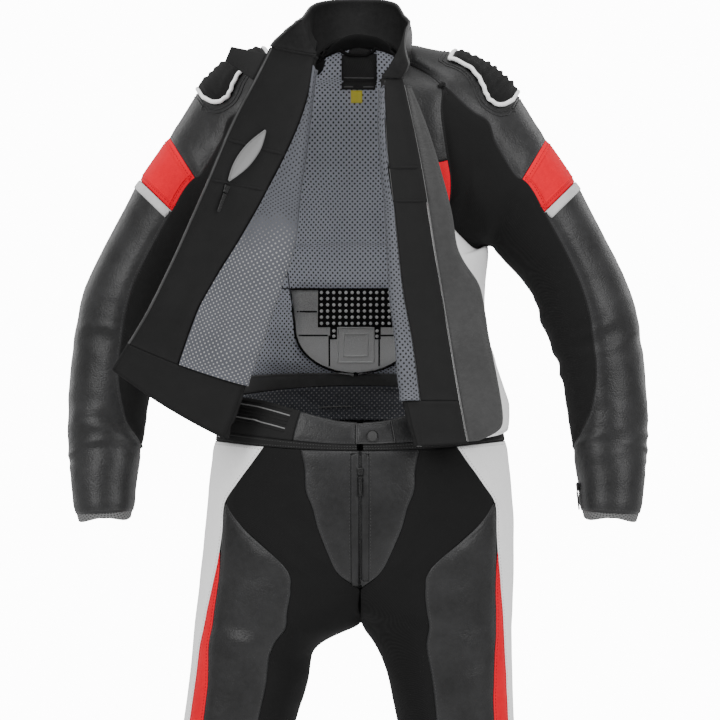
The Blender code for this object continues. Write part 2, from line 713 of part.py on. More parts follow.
def leg_shape(side, v):
    row = sampled(LEGS, v)
    outer = row.outer_L if side == LEFT else row.outer_R
    inner = row.inner_L if side == LEFT else row.inner_R
    return row, (outer + inner) / 2, (outer - inner) / 2


def leg_cut(side, v):
    """The angle from the hip at which a section reaches the centre plane, or 180 once the leg is closed."""
    row, centre, half = leg_shape(side, v)
    if v >= CROTCH_ROW or centre - half > CENTRE_GAP:
        return 180.0
    return math.degrees(math.acos(max(-1.0, (CENTRE_GAP - centre) / half)))


def leg_surface(side):
    def surface(v, phi):
        row, centre, half = leg_shape(side, v)
        turn = math.radians(phi)
        depth = row.front if math.sin(turn) > 0 else row.back
        press = folded(LEG_FOLDS, v, phi) if v > 8 else 0.0
        point = Vector((half * math.cos(turn), -depth * math.sin(turn), 0))
        point -= point.normalized() * press
        lift = waist_lift(phi) * max(0.0, 1 - max(v, 0) / 4)
        return Vector(((centre + point.x) * side, row.middle_y + point.y, row.z + lift)) * MM

    return surface


def leg_outside(side):
    surface = leg_surface(side)

    def outside(v, phi):
        row, centre, half = leg_shape(side, v)
        out = surface(v, phi) - Vector((centre * side, row.middle_y, 0)) * MM
        return Vector((out.x, out.y, 0))

    return outside


PanelSeam = namedtuple("PanelSeam", "at white thigh stretch fly")
# Front seams in degrees from the hip: the white panel's edge, the red stripe's edge, the thigh leather's
# inner edge and the fly panel's edge.
LEG_SEAMS = [
    PanelSeam(0, 49, 49, 49, 66), PanelSeam(1, 42.5, 42.5, 42.5, 69), PanelSeam(2, 35.5, 35.5, 35.5, 71),
    PanelSeam(3, 29.5, 29.5, 31.5, 76), PanelSeam(4, 30.5, 30.5, 45, 82), PanelSeam(5, 31, 32.5, 67, 94),
    PanelSeam(6, 30.5, 34.5, 80, 106), PanelSeam(7, 29.5, 36, 86, 132), PanelSeam(8, 28.5, 37.5, 91, 150),
    PanelSeam(9, 28, 39, 97, 150), PanelSeam(10, 28, 42, 105.5, 150), PanelSeam(11, 26.5, 47, 107, 150),
    PanelSeam(12, 26, 50, 110, 150), PanelSeam(13, 25, 53, 112, 150), PanelSeam(14, 24, 56, 114, 150),
]
KNEE_ROW = 14
BACK_SEAM = 30.0  # the white panel's rear edge, in degrees behind the hip
FLY_END_ROW = 6.6
LEG_ROWS = [0, 1, 2, 3, 4, 5, 6, FLY_END_ROW] + list(range(7, LEG_END + 1))


def leg_seam(v):
    low = min(int(v), len(LEG_SEAMS) - 2) if v < len(LEG_SEAMS) - 1 else len(LEG_SEAMS) - 2
    share = min(1.0, max(0.0, v - LEG_SEAMS[low].at))
    return PanelSeam(*[lerp(a, b, share) for a, b in zip(LEG_SEAMS[low], LEG_SEAMS[low + 1])])


def make_leg(side):
    surface, outside, tag = leg_surface(side), leg_outside(side), side_name(side)

    def panel(name, rows, columns, kind, thick=LEATHER_WALL):
        cloth(f"{name}_{tag}", surface, outside, rows, columns, kind, thick)

    def fly_edge(v):
        return min(leg_seam(v).fly, leg_cut(side, v) - (2.0 if v <= FLY_END_ROW else 0.0))

    top_rows = [v for v in LEG_ROWS if v <= FLY_END_ROW]
    panel("fly", top_rows, lambda v: spread(fly_edge(v), leg_cut(side, v), 3), "leather")

    def stretch_columns(v):
        end = fly_edge(v) if v <= FLY_END_ROW else leg_cut(side, v)
        return spread(leg_seam(v).stretch, end, 5)

    to_knee = [v for v in LEG_ROWS if v <= KNEE_ROW]
    panel("front_stretch", to_knee, stretch_columns, "stretch", STRETCH_WALL)
    panel("thigh", to_knee[3:], lambda v: spread(leg_seam(v).thigh, leg_seam(v).stretch, 4), "leather")
    panel("red_stripe", to_knee[5:], lambda v: spread(leg_seam(v).white, leg_seam(v).thigh, 2), "red")
    panel("white_side", LEG_ROWS, lambda v: spread(leg_seam(v).white, -BACK_SEAM, 3), "white")
    panel("leg_back", LEG_ROWS, lambda v: spread(-BACK_SEAM, -leg_cut(side, v), 6), "leather")
    panel("shin", list(range(KNEE_ROW, LEG_END + 1)), lambda v: spread(leg_seam(KNEE_ROW).white, 180, 6), "leather")


# Waistband: one curved band above the waist seam, its front leather and its sides and back elastic.

WaistRow = namedtuple("WaistRow", "half_width front back middle_y height")
WAIST = [
    WaistRow(185, 103, 109, 4, 0), WaistRow(182.5, 102, 109, 4, 12), WaistRow(174, 98, 110, 4, 34),
    WaistRow(161, 92, 109.6, 4, 58),
]


def waist_surface(a, phi):
    """a runs up the band. phi is 0 at the centre front and grows to the wearer's left."""
    row = sampled(WAIST, a)
    turn = math.radians(phi)
    forward = math.cos(turn)
    depth = row.front if forward > 0 else row.back
    across = abs(math.sin(turn))
    seam = -492 + (-6 * forward**2 + 5 * across**2 if forward > 0 else 5 + 12 * forward**2)
    dip = 22 * max(0.0, forward) ** 6 * row.height / 58
    return Vector((
        row.half_width * math.sin(turn), row.middle_y - depth * forward, seam + row.height - dip,
    )) * MM


def waist_outside(a, phi):
    point = waist_surface(a, phi)
    return Vector((point.x, point.y, 0))


WAIST_FRONT = 28.0  # the leather front ends this far round from the centre
PLACKET = 1.2


def make_waistband():
    seam_columns = spread(PLACKET, 360 - PLACKET, 30)
    cloth("waist_seam_band", waist_surface, waist_outside, [0.06, 1], lambda a: seam_columns, "facing", 2.4 * MM, 0.6 * MM)
    for name, first, last, count, kind in (
        ("waist_front_L", PLACKET, WAIST_FRONT, 4, "leather"),
        ("waist_elastic", WAIST_FRONT, 360 - WAIST_FRONT, 30, "facing"),
        ("waist_front_R", -WAIST_FRONT, -PLACKET, 4, "leather"),
    ):
        columns = spread(first, last, count)
        cloth(name, waist_surface, waist_outside, [1, 2, 3], lambda a, c=columns: c, kind, 2.2 * MM)
    inside = spread(WAIST_FRONT, 360 - WAIST_FRONT, 30)[7:24]
    cloth(
        "trousers_lining", waist_surface, waist_outside, [1, 2, 2.96], lambda a: inside, "mesh", LINING_WALL,
        -2.2 * MM - LAYER_GAP,
    )


# Closures and small pieces.

SNAP_TURN, SNAP_HEIGHT_ROW, SNAP_RADIUS = 5.0, 1.75, 7.5 * MM
TAB_ROW_LOW, TAB_ROW_HIGH = 1.15, 2.75


def make_waist_tab():
    """The snap tab: the left waistband's end, lying over the right one."""
    cloth(
        "waist_tab", waist_surface, waist_outside, [TAB_ROW_LOW, 1.75, 2.25, TAB_ROW_HIGH],
        lambda a: spread(-1.5, 14, 4), "leather", LEATHER_WALL, LEATHER_WALL + LAYER_GAP,
    )
    start = LEATHER_WALL + 2 * LAYER_GAP
    point = waist_surface(SNAP_HEIGHT_ROW, SNAP_TURN)
    normal = normal_of(waist_surface, SNAP_HEIGHT_ROW, SNAP_TURN, waist_outside(SNAP_HEIGHT_ROW, SNAP_TURN))
    profile = [(SNAP_RADIUS, 0), (SNAP_RADIUS, 0.0012), (SNAP_RADIUS * 0.8, 0.0026), (0, 0.003)]
    turned("snap_button", profile, point + normal * start, normal)


def turned(name, profile, place, axis, kind="metal", segments=14):
    """A turned piece: its profile runs out along the axis, closed by its own flat foot."""
    shape = bmesh.new()
    corners = [shape.verts.new((radius, 0, height)) for radius, height in [(0, 0), *profile]]
    edges = [shape.edges.new(pair) for pair in zip(corners, corners[1:])]
    bmesh.ops.spin(
        shape, geom=corners + edges, cent=(0, 0, 0), axis=(0, 0, 1), angle=2 * math.pi, steps=segments,
        use_merge=True, use_duplicate=False,
    )
    bmesh.ops.remove_doubles(shape, verts=shape.verts, dist=1e-5)
    bmesh.ops.transform(shape, matrix=axis.to_track_quat("Z", "Y").to_matrix().to_4x4(), verts=shape.verts)
    bmesh.ops.translate(shape, vec=place, verts=shape.verts)
    mesh = bpy.data.meshes.new(name)
    shape.to_mesh(mesh)
    shape.free()
    return placed(name, mesh, kind)


def frame_at(surface, a, b, outside, out):
    """The point at a distance out of a surface, with the surface's downward and outward directions."""
    normal = normal_of(surface, a, b, outside(a, b))
    down = (surface(a + 0.05, b) - surface(a - 0.05, b)).normalized()
    if down.z > 0:
        down = -down
    across = down.cross(normal).normalized()
    normal = across.cross(down)
    return surface(a, b) + normal * out, across, down, normal


def slab(name, place, across, down, normal, half, kind, taper=1.0):
    """A bevelled block with its sizes along the across, down and normal directions."""
    shape = bmesh.new()
    bmesh.ops.create_cube(shape, size=2.0)
    for vert in shape.verts:
        narrow = taper if vert.co.y > 0 else 1.0
        vert.co = Vector((vert.co.x * half[0] * narrow, vert.co.y * half[1], vert.co.z * half[2])) / MM
    bmesh.ops.bevel(
        shape, geom=shape.edges[:], offset=min(half) / MM * 0.5, affect="EDGES", segments=1, profile=0.5,
        material=-1,
    )
    bmesh.ops.recalc_face_normals(shape, faces=shape.faces)
    turn = Matrix((across, down, normal)).transposed().to_4x4()
    bmesh.ops.transform(shape, matrix=turn @ Matrix.Scale(MM, 4), verts=shape.verts)
    bmesh.ops.translate(shape, vec=place, verts=shape.verts)
    mesh = bpy.data.meshes.new(name)
    shape.to_mesh(mesh)
    shape.free()
    return placed(name, mesh, kind)


SLIDER_HALF = (4.0 * MM, 5.0 * MM, 1.3 * MM)
PULL_HALF = (2.6 * MM, 12.0 * MM, 0.8 * MM)
PULL_GAP = 0.9 * MM


def make_zip_pull(tag, surface, outside, a, b, out):
    """A slider on the zip, and its pull tab hanging from the slider's lower end."""
    place, across, down, normal = frame_at(surface, a, b, outside, out)
    slab(f"slider_{tag}", place + normal * SLIDER_HALF[2], across, down, normal, SLIDER_HALF, "metal", 0.8)
    hang = SLIDER_HALF[1] + PULL_HALF[1] + PULL_GAP
    lifted = place + down * hang + normal * (SLIDER_HALF[2] + 1.2 * MM)
    slab(f"pull_{tag}", lifted, across, down, normal, PULL_HALF, "metal", 0.75)


def make_small_pieces():
    leg = leg_surface(LEFT)

    def fly_line(v, b):
        return leg(v, leg_cut(LEFT, v) + b)

    make_zip_pull("fly", fly_line, lambda v, b: Vector((0, -1, 0)), 1.0, 0.0, 0.8 * MM)
    cuff = sleeve_surface(LEFT)
    make_zip_pull("cuff", cuff, sleeve_outside(LEFT), 16.1, 172.0, 0.8 * MM)
    wing = front_surface(RIGHT)

    def inside(v, b):
        return -front_outside(RIGHT)(v, b)

    pocket_out = LEATHER_WALL + LINING_WALL + 2 * LAYER_GAP + 1.2 * MM
    make_zip_pull("pocket", wing, inside, 4.65, 219.0, pocket_out - 0.8 * MM)

    def pocket_columns(v):
        share = (v - POCKET_ROWS[0]) / (POCKET_ROWS[-1] - POCKET_ROWS[0])
        half = 1.2 + 8.5 * math.sin(math.pi * share) ** 0.9
        middle = lerp(197, 219, share)
        return spread(middle - half, middle + half, 4)

    cloth(
        "pocket_bag", wing, inside, POCKET_ROWS, pocket_columns, "mesh", LINING_WALL, pocket_out + LINING_WALL,
    )
    label_out = -LEATHER_WALL - LINING_HANG - LINING_WALL - LAYER_GAP
    cloth(
        "neck_label", back_surface, back_outside, LABEL_ROWS, lambda v: BACK_COLUMNS[5:8], "facing",
        0.8 * MM, label_out,
    )


POCKET_ROWS = [2.9, 3.2, 3.5, 3.8, 4.1, 4.4]


# Accordion panels over the shoulders, ribbed across, on the leather's own points.

FlexRow = namedtuple("FlexRow", "at slant front back")
# Outline from the neck to the arm, in sleeve rows and degrees: the panel waists in and ends in a point.
FLEX = [
    FlexRow(1.5, -0.2, 38, 32), FlexRow(2.25, -0.05, 39, 40), FlexRow(2.8, 0, 43, 44), FlexRow(3.25, 0, 48, 48),
    FlexRow(3.6, 0, 49, 48), FlexRow(4.0, 0.1, 43, 42), FlexRow(4.35, 0, 30, 30),
]
RIBS = 8
RIB_HEIGHT = 2.2 * MM
FLEX_GAP = 1.5 * MM


def make_flex(side):
    surface, outside, tag = sleeve_surface(side), sleeve_outside(side), side_name(side)
    grid = []
    for i, share in enumerate(spread(0, 1, RIBS * 2)):
        row = sampled(FLEX, share * (len(FLEX) - 1))
        raised = RIB_HEIGHT if i % 2 else 0.8 * MM
        points = []
        for phi in spread(row.front, -row.back, 6):
            v = row.at + row.slant * abs(phi) / 45
            normal = normal_of(surface, v, phi, outside(v, phi))
            point = surface(v, phi)
            points.append((point + normal * (FLEX_GAP + 1.2 * MM + raised), point + normal * FLEX_GAP))
        grid.append(points)
    wall(f"shoulder_flex_{tag}", [grid], "stretch")


def make_collar_tab():
    """The collar's closing strap, sewn behind the right front's edge and standing off over the shoulder."""
    wing, outside = front_surface(RIGHT), front_outside(RIGHT)
    tip_high, tip_low = Vector((-161, -130, 7)) * MM, Vector((-168, -132, -11)) * MM

    def surface(a, b):
        v = lerp(0.35, 1.45, b / 100)
        root = wing(v, EDGE - 10 + 10 * min(1.0, a / 0.15))
        root += normal_of(wing, v, EDGE - 5, outside(v, EDGE - 5)) * (LAYER_GAP + 2.5 * MM)
        share = max(0.0, (a - 0.15) / 0.85)
        lift = Vector((0, 4 * MM * math.sin(math.pi * share), 0))
        return root.lerp(tip_high.lerp(tip_low, b / 100), share) + lift

    cloth(
        "collar_tab", surface, lambda a, b: Vector((0, 1, 0)), [0, 0.15, 0.4, 0.7, 1], lambda a: [0, 35, 70, 100],
        "facing", 2 * MM,
    )


make_back()
make_protector()
make_collar()
make_collar_tab()
make_storm_flap()
for wearer_side in (LEFT, RIGHT):
    make_sleeve(wearer_side)
    make_flex(wearer_side)
    make_front(wearer_side)
    make_leg(wearer_side)
make_waistband()
make_waist_tab()
make_small_pieces()
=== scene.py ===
import math
from collections import namedtuple

import bmesh
import bpy
from mathutils import Matrix, Vector, noise
from mathutils.bvhtree import BVHTree
from mathutils.kdtree import KDTree


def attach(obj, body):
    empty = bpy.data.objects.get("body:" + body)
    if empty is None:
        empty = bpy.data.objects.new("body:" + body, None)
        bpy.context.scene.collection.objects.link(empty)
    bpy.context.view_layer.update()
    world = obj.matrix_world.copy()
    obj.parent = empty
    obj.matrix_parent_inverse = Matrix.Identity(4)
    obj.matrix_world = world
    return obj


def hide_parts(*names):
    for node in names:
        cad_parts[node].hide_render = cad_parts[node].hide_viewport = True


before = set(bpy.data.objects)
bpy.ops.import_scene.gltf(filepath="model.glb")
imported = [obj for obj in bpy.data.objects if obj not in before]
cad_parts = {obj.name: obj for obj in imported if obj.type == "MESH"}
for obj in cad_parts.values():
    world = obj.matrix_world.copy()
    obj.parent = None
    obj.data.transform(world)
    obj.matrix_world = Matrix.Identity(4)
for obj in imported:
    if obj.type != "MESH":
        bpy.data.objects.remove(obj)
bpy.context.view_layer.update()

# Trousers: leather thigh, shin, fly and back panels, white leather sides with a red stripe, and black
# stretch cloth at the hips. Each panel is cut flat, then sewn to the next with its edge turned in, so
# the leather stands a little proud beside every seam.

MM = 0.001
SUIT = "suit"


class Reading:
    """A number or colour that varies over a finish. Sums on it add Math nodes."""

    def __init__(self, finish, socket):
        self.finish, self.socket = finish, socket

    def worked(self, operation, first, second=0.0):
        return self.finish.node("ShaderNodeMath", {"operation": operation}, {0: first, 1: second})

    def __add__(self, other):
        return self.worked("ADD", self, other)

    def __sub__(self, other):
        return self.worked("SUBTRACT", self, other)

    def __rsub__(self, other):
        return self.worked("SUBTRACT", other, self)

    def __mul__(self, other):
        return self.worked("MULTIPLY", self, other)

    def __truediv__(self, other):
        return self.worked("DIVIDE", self, other)

    def __pow__(self, other):
        return self.worked("POWER", self, other)

    def __mod__(self, other):
        return self.worked("FLOORED_MODULO", self, other)

    __radd__, __rmul__ = __add__, __mul__

    def least(self, other):
        return self.worked("MINIMUM", self, other)

    def most(self, other):
        return self.worked("MAXIMUM", self, other)


class Finish:
    """One material of the suit and the nodes that make it."""

    def __init__(self, name, constants):
        self.material = bpy.data.materials.new(name)
        self.material.use_nodes = True
        self.tree = self.material.node_tree
        self.shader = self.tree.nodes["Principled BSDF"]
        for socket, value in constants.items():
            self.shader.inputs[socket].default_value = value

    def node(self, kind, settings=None, inputs=None, output=0):
        made = self.tree.nodes.new(kind)
        for name, value in (settings or {}).items():
            setattr(made, name, value)
        for name, value in (inputs or {}).items():
            if isinstance(value, Reading):
                self.tree.links.new(value.socket, made.inputs[name])
            else:
                made.inputs[name].default_value = value
        return Reading(self, made.outputs[output])

    def place(self, output="Object"):
        return self.node("ShaderNodeTexCoord", output=output)

    def cloud(self, where, scale, detail=2.0):
        return self.node("ShaderNodeTexNoise", {}, {"Vector": where, "Scale": scale, "Detail": detail})

    def mixed(self, share, first, second):
        return self.node("ShaderNodeMix", {"data_type": "RGBA"}, {0: share, 6: first, 7: second}, 2)

    def seam(self):
        """1 on a panel's sewn edge, falling to 0 a few millimetres inside it."""
        return self.node("ShaderNodeAttribute", {"attribute_name": "seam"}, output="Fac")

    def feed(self, socket, value):
        self.tree.links.new(value.socket, self.shader.inputs[socket])

    def raised(self, height, distance, strength=1.0):
        self.feed("Normal", self.node(
            "ShaderNodeBump", {}, {"Height": height, "Distance": distance, "Strength": strength}
        ))


def shade(level, tint=(1.0, 1.0, 1.0)):
    return (level * tint[0], level * tint[1], level * tint[2], 1.0)


def leather(name, dark, light, wear_and_sheen, rough=0.42, gloss=0.22):
    """Pebbled cowhide: rounded grain with fine creases between, lighter along its sewn edges where it is
    handled, and lighter in broad patches of painted sheen.
    """
    made = Finish(name, {"Specular IOR Level": gloss})
    where = made.place()
    grain = made.node("ShaderNodeTexVoronoi", {"feature": "F1"}, {"Vector": where, "Scale": 420.0})
    fine = made.cloud(where, 1400.0)
    broad = made.cloud(where, 22.0, 3.0)
    mottled = made.cloud(where, 160.0, 3.0)
    # lighter along the sewn edges, as wear, and in broad patches, as painted sheen that stands in for soft
    # highlights
    seam_wear_and_sheen = made.seam() * 0.35 + (broad * 2.2 - 0.75).most(0.0).least(1.0) * 0.45
    tone = made.mixed((mottled * 1.6 - 0.3).most(0.0).least(1.0), dark, light)
    made.feed("Base Color", made.mixed(seam_wear_and_sheen.least(1.0), tone, wear_and_sheen))
    made.feed("Roughness", rough + mottled * 0.16 - broad * 0.08)
    height = (1.0 - grain) * 0.8 + fine * 0.35 + mottled * 1.2
    made.raised(height, 0.35 * MM, 0.75)
    return made.material


def stretch_cloth(name, dark, light):
    """Tightly woven stretch nylon: a fine twill that stays matt, with a little fuzz."""
    made = Finish(name, {"Specular IOR Level": 0.1, "Sheen Weight": 0.02})
    where = made.place()
    twill = made.node(
        "ShaderNodeTexWave", {"wave_type": "BANDS", "bands_direction": "DIAGONAL"},
        {"Vector": where, "Scale": 260.0, "Distortion": 1.2, "Detail": 1.0, "Detail Scale": 3.0},
    )
    broad = made.cloud(where, 40.0, 3.0)
    made.feed("Base Color", made.mixed(twill * 0.45 + broad * 0.4, dark, light))
    made.feed("Roughness", 0.78 + broad * 0.12)
    made.raised(twill + broad * 0.5, 0.18 * MM, 0.6)
    return made.material


def woven_trim(name, dark, light, pitch):
    """Flat woven or knitted band: fine ribs across it, matt, with a little relief."""
    made = Finish(name, {"Specular IOR Level": 0.12, "Sheen Weight": 0.02})
    where = made.place("UV")
    ribs = made.node(
        "ShaderNodeTexWave", {"wave_type": "BANDS", "bands_direction": "X"},
        {"Vector": where, "Scale": 0.314 / (pitch * MM), "Distortion": 0.4, "Detail": 0.0},
    )
    broad = made.cloud(made.place(), 60.0, 3.0)
    made.feed("Base Color", made.mixed(ribs * 0.4 + broad * 0.5, dark, light))
    made.feed("Roughness", 0.75 + broad * 0.15)
    made.raised(ribs + broad * 0.4, 0.3 * MM, 0.6)
    return made.material


# each leather's third colour is its worn tone along the seams and its painted sheen in broad patches
BLACK = leather(
    "black_leather", shade(0.005), shade(0.011, (1, 1, 1.04)), shade(0.034, (1, 1, 1.03)), 0.36, 0.3
)
WHITE = leather("white_leather", shade(0.88), shade(0.93), shade(0.96), 0.5, 0.3)
RED = leather(
    "red_leather", (0.62, 0.0, 0.014, 1), (0.74, 0.0, 0.016, 1), (0.84, 0.002, 0.022, 1), 0.52, 0.05
)
SUEDE = leather("suede_back", shade(0.012), shade(0.02), shade(0.022), 0.8, 0.05)
STRETCH = stretch_cloth("stretch_cloth", shade(0.006), shade(0.013))


def outer_skin(node, wall, faces_front=None):
    """The shown side of a panel's shell as quads: the edge faces come off, and one skin stays."""
    shell = bmesh.new()
    shell.from_mesh(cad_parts[node].data)
    bmesh.ops.remove_doubles(shell, verts=shell.verts, dist=1e-6)
    short = max(2.2 * MM, 1.25 * wall)

    def on_edge(face):
        lengths = [edge.calc_length() for edge in face.edges]
        if max(lengths) < 1.55 * short:
            return True
        if min(lengths) > short:
            return False
        long_edges = [edge for edge in face.edges if edge.calc_length() > short]
        return any(edge.calc_face_angle(0.0) > math.radians(60) for edge in long_edges)

    bmesh.ops.delete(shell, geom=[face for face in shell.faces if on_edge(face)], context="FACES")
    skins, left = [], set(shell.faces)
    while left:
        found = [left.pop()]
        for face in found:
            for near in {other for edge in face.edges for other in edge.link_faces} & left:
                left.remove(near)
                found.append(near)
        skins.append(found)
    skins.sort(key=lambda skin: -sum(face.calc_area() for face in skin))
    keep = skins[0]
    if faces_front:
        point, direction = faces_front

        def away_from(face):
            return (face.calc_center_median() - Vector(point)).length

        nearest = [min(skin, key=away_from) for skin in skins[:2]]
        keep = max(zip(nearest, skins), key=lambda pair: pair[0].normal.dot(Vector(direction)))[1]
    away = [face for skin in skins if skin is not keep for face in skin]
    bmesh.ops.delete(shell, geom=away, context="FACES")
    dissolve_diagonals(shell)
    return shell


def dissolve_diagonals(skin):
    """Each cell is two triangles. Of the three families of edges, only the diagonals never end a panel."""
    family, seen = {}, set()
    for first in skin.faces[:]:
        if first in seen:
            continue
        for place, edge in enumerate(first.edges):
            family.setdefault(edge, place)
        seen.add(first)
        queue = [first]
        for face in queue:
            for shared in face.edges:
                for beyond in set(shared.link_faces) - seen:
                    seen.add(beyond)
                    queue.append(beyond)
                    tip = next(vert for vert in face.verts if vert not in shared.verts)
                    far = next(vert for vert in beyond.verts if vert not in shared.verts)
                    for one, other in (tuple(shared.verts), tuple(shared.verts)[::-1]):
                        across = next(e for e in beyond.edges if set(e.verts) == {one, far})
                        like = next(e for e in face.edges if set(e.verts) == {other, tip})
                        family.setdefault(across, family[like])
    on_rim = [sum(edge.is_boundary for edge, place in family.items() if place == kind) for kind in range(3)]
    diagonal = on_rim.index(min(on_rim))
    inner = [edge for edge, place in family.items() if place == diagonal and not edge.is_boundary]
    bmesh.ops.dissolve_edges(skin, edges=inner, use_verts=False)


# A panel that fills less than this of its flat box is an arc, and its strip is cut with this much to spare.
ARC_FILL, STRIP_SLACK = 0.33, 1.03


def laid_flat(name, skin):
    """The panel's mesh with its cut: unwrapped flat, in metres, with up the panel along V."""
    mesh = bpy.data.meshes.new(name)
    skin.normal_update()
    skin.to_mesh(mesh)
    skin.free()
    panel = bpy.data.objects.new(name, mesh)
    bpy.context.scene.collection.objects.link(panel)
    bpy.context.view_layer.objects.active = panel
    panel.select_set(True)
    bpy.ops.object.mode_set(mode="EDIT")
    bpy.ops.mesh.select_all(action="SELECT")
    bpy.ops.uv.unwrap(method="ANGLE_BASED", margin=0.0)
    bpy.ops.object.mode_set(mode="OBJECT")
    panel.select_set(False)
    flat = mesh.uv_layers.active.data
    area, drawn, up = 0.0, 0.0, Vector((0.0, 0.0))
    for face in mesh.polygons:
        corners = [flat[i].uv for i in face.loop_indices]
        points = [mesh.vertices[i].co for i in face.vertices]
        drawn += abs(sum(a.cross(b) for a, b in zip(corners, corners[1:] + corners[:1]))) / 2
        area += face.area
        middle = sum(points, Vector()) / len(points)
        centre = sum(corners, Vector((0.0, 0.0))) / len(corners)
        for corner, point in zip(corners, points):
            up += (corner - centre) * (point.z - middle.z)
    scale = math.sqrt(area / max(drawn, 1e-12))
    turn = Matrix.Rotation(math.pi / 2 - math.atan2(up.y, up.x), 2)
    for corner in flat:
        corner.uv = turn @ corner.uv * scale
    across = [corner.uv.x for corner in flat]
    upward = [corner.uv.y for corner in flat]
    wide, tall = max(across) - min(across), max(upward) - min(upward)
    if area < ARC_FILL * wide * tall:
        # a narrow band that lies in an arc is cut from a straight strip
        uses = {}
        for face in mesh.polygons:
            for key in face.edge_keys:
                uses[key] = uses.get(key, 0) + 1
        ends = [key for key, count in uses.items() if count == 1]
        rim = sum((mesh.vertices[a].co - mesh.vertices[b].co).length for a, b in ends)
        wide, tall = rim / 2, STRIP_SLACK * area / (rim / 2)
    return panel, (wide, tall), area


def rounded(panel, level):
    """Catmull-Clark smoothing that still passes through the panel's own corners."""
    mesh = panel.data
    aims = [vert.co.copy() for vert in mesh.vertices]
    smooth = panel.modifiers.new("Round", "SUBSURF")
    smooth.levels = smooth.render_levels = 1
    smooth.boundary_smooth = "PRESERVE_CORNERS"
    for _ in range(5):
        view = bpy.context.evaluated_depsgraph_get()
        view.update()
        made = panel.evaluated_get(view).data
        for vert, aim, got in zip(mesh.vertices, aims, made.vertices):
            vert.co += (aim - got.co) * 1.3
        mesh.update()
        bpy.context.view_layer.update()
    smooth.levels = smooth.render_levels = level
    view = bpy.context.evaluated_depsgraph_get()
    view.update()
    made = bpy.data.meshes.new_from_object(panel.evaluated_get(view))
    panel.modifiers.clear()
    panel.data = made
    made.name = panel.name


# Where leather and cloth have creased in wear: folds repeat along "across", each this far "apart".
Creased = namedtuple("Creased", "x y z reach across apart depth")
CREASES = [
    Creased(285, -10, -345, 115, (0.35, 0.0, -1.0), 27, 4.3),
    Creased(325, -45, -480, 90, (0.1, -0.2, -1.0), 21, 3.2),
    Creased(250, 0, -215, 75, (0.6, 0.0, -1.0), 30, 1.6),
    Creased(150, -60, -170, 90, (1.0, 0.0, -0.2), 34, 5.4),
    Creased(175, 40, -190, 90, (1.0, 0.3, -0.3), 34, 5.4),
    Creased(275, 20, -300, 90, (0.4, 0.2, -1.0), 24, 3.5),
    Creased(60, -75, -600, 90, (0.7, 0.0, -1.0), 27, 2.2),
    Creased(120, -70, -560, 90, (0.5, 0.0, 1.0), 30, 2.4),
    Creased(95, -60, -760, 130, (0.35, 0.2, -1.0), 36, 2.4),
    Creased(150, 30, -1010, 140, (0.0, 0.0, 1.0), 28, 5.7),
    Creased(140, -60, -1040, 120, (0.1, 0.0, 1.0), 30, 3.0),
    Creased(150, 0, -1380, 110, (0.0, 0.2, 1.0), 24, 4.1),
    Creased(75, 100, -610, 120, (0.4, 0.0, 1.0), 38, 4.1),
    Creased(90, 110, -400, 150, (0.15, 0.0, 1.0), 32, 4.1),
    Creased(70, 115, -180, 150, (1.0, 0.0, 0.35), 46, 3.2),
    Creased(150, -30, -400, 130, (0.3, 0.0, 1.0), 30, 3.5),
    Creased(180, -110, -330, 130, (1.0, 0.0, 0.4), 26, 2.0),
    Creased(70, 100, -330, 90, (1.0, 0.0, -1.0), 18, 1.8),
    Creased(45, 60, 50, 70, (1.0, 0.6, 0.0), 22, 1.9),
]


def creases(place):
    """How far the cloth stands out or in at a place, from every creased area that reaches it."""
    height = 0.0
    for number, row in enumerate(CREASES):
        side = 1.0 if place.x >= 0.0 else -1.0
        off = place - Vector((row.x * side, row.y, row.z)) * MM
        away = off.length / (row.reach * MM)
        if away >= 1.0:
            continue
        across = Vector((row.across[0] * side, row.across[1], row.across[2])).normalized()
        along = off.dot(across)
        spot = across * (along / row.apart) + (off - across * along) / (3.6 * row.apart)
        wave = noise.noise(spot / MM + Vector((7.1 * number + side, 3.3, 1.7)))
        height += row.depth * MM * (0.65 - 2.2 * abs(wave)) * (1.0 - away * away) ** 2
    return height


def draped(panel, seam_dip, puff, turned):
    """Moves the cloth along its normals: creases, a soft unevenness, and a dip along every sewn edge."""
    work = bmesh.new()
    work.from_mesh(panel.data)
    work.normal_update()
    rim = [vert for vert in work.verts if vert.is_boundary]
    tree = KDTree(len(rim))
    for number, vert in enumerate(rim):
        tree.insert(vert.co, number)
    tree.balance()
    mark = work.verts.layers.float.new("seam")
    moves = []
    for vert in work.verts:
        gap = tree.find(vert.co)[2] if rim else 1.0
        near = math.exp(-((gap / (5 * MM)) ** 2))
        vert[mark] = near
        soft = noise.noise(vert.co * 9.0) * 1.1 * MM + noise.noise(vert.co * 30.0) * 0.45 * MM
        sewn = puff * math.exp(-(((gap - 13 * MM) / (8 * MM)) ** 2)) - seam_dip * near
        moves.append((creases(vert.co) + soft) * turned + sewn)
    for vert, move in zip(work.verts, moves):
        vert.co += vert.normal * move
    work.to_mesh(panel.data)
    work.free()


def finished(panel, material, wall, backing):
    panel.data.materials.clear()
    panel.data.materials.append(material)
    panel.data.shade_smooth()
    thick = panel.modifiers.new("Wall", "SOLIDIFY")
    thick.thickness = wall
    thick.offset = -1.0
    if backing:
        panel.data.materials.append(backing)
        thick.material_offset = thick.material_offset_rim = 1


INWARD = (0.0, -1.0, 0.0)
Cut = namedtuple("Cut", "panel flat area held trims")
CUTS = {}  # every panel, with its flat cut and the trims sewn on it


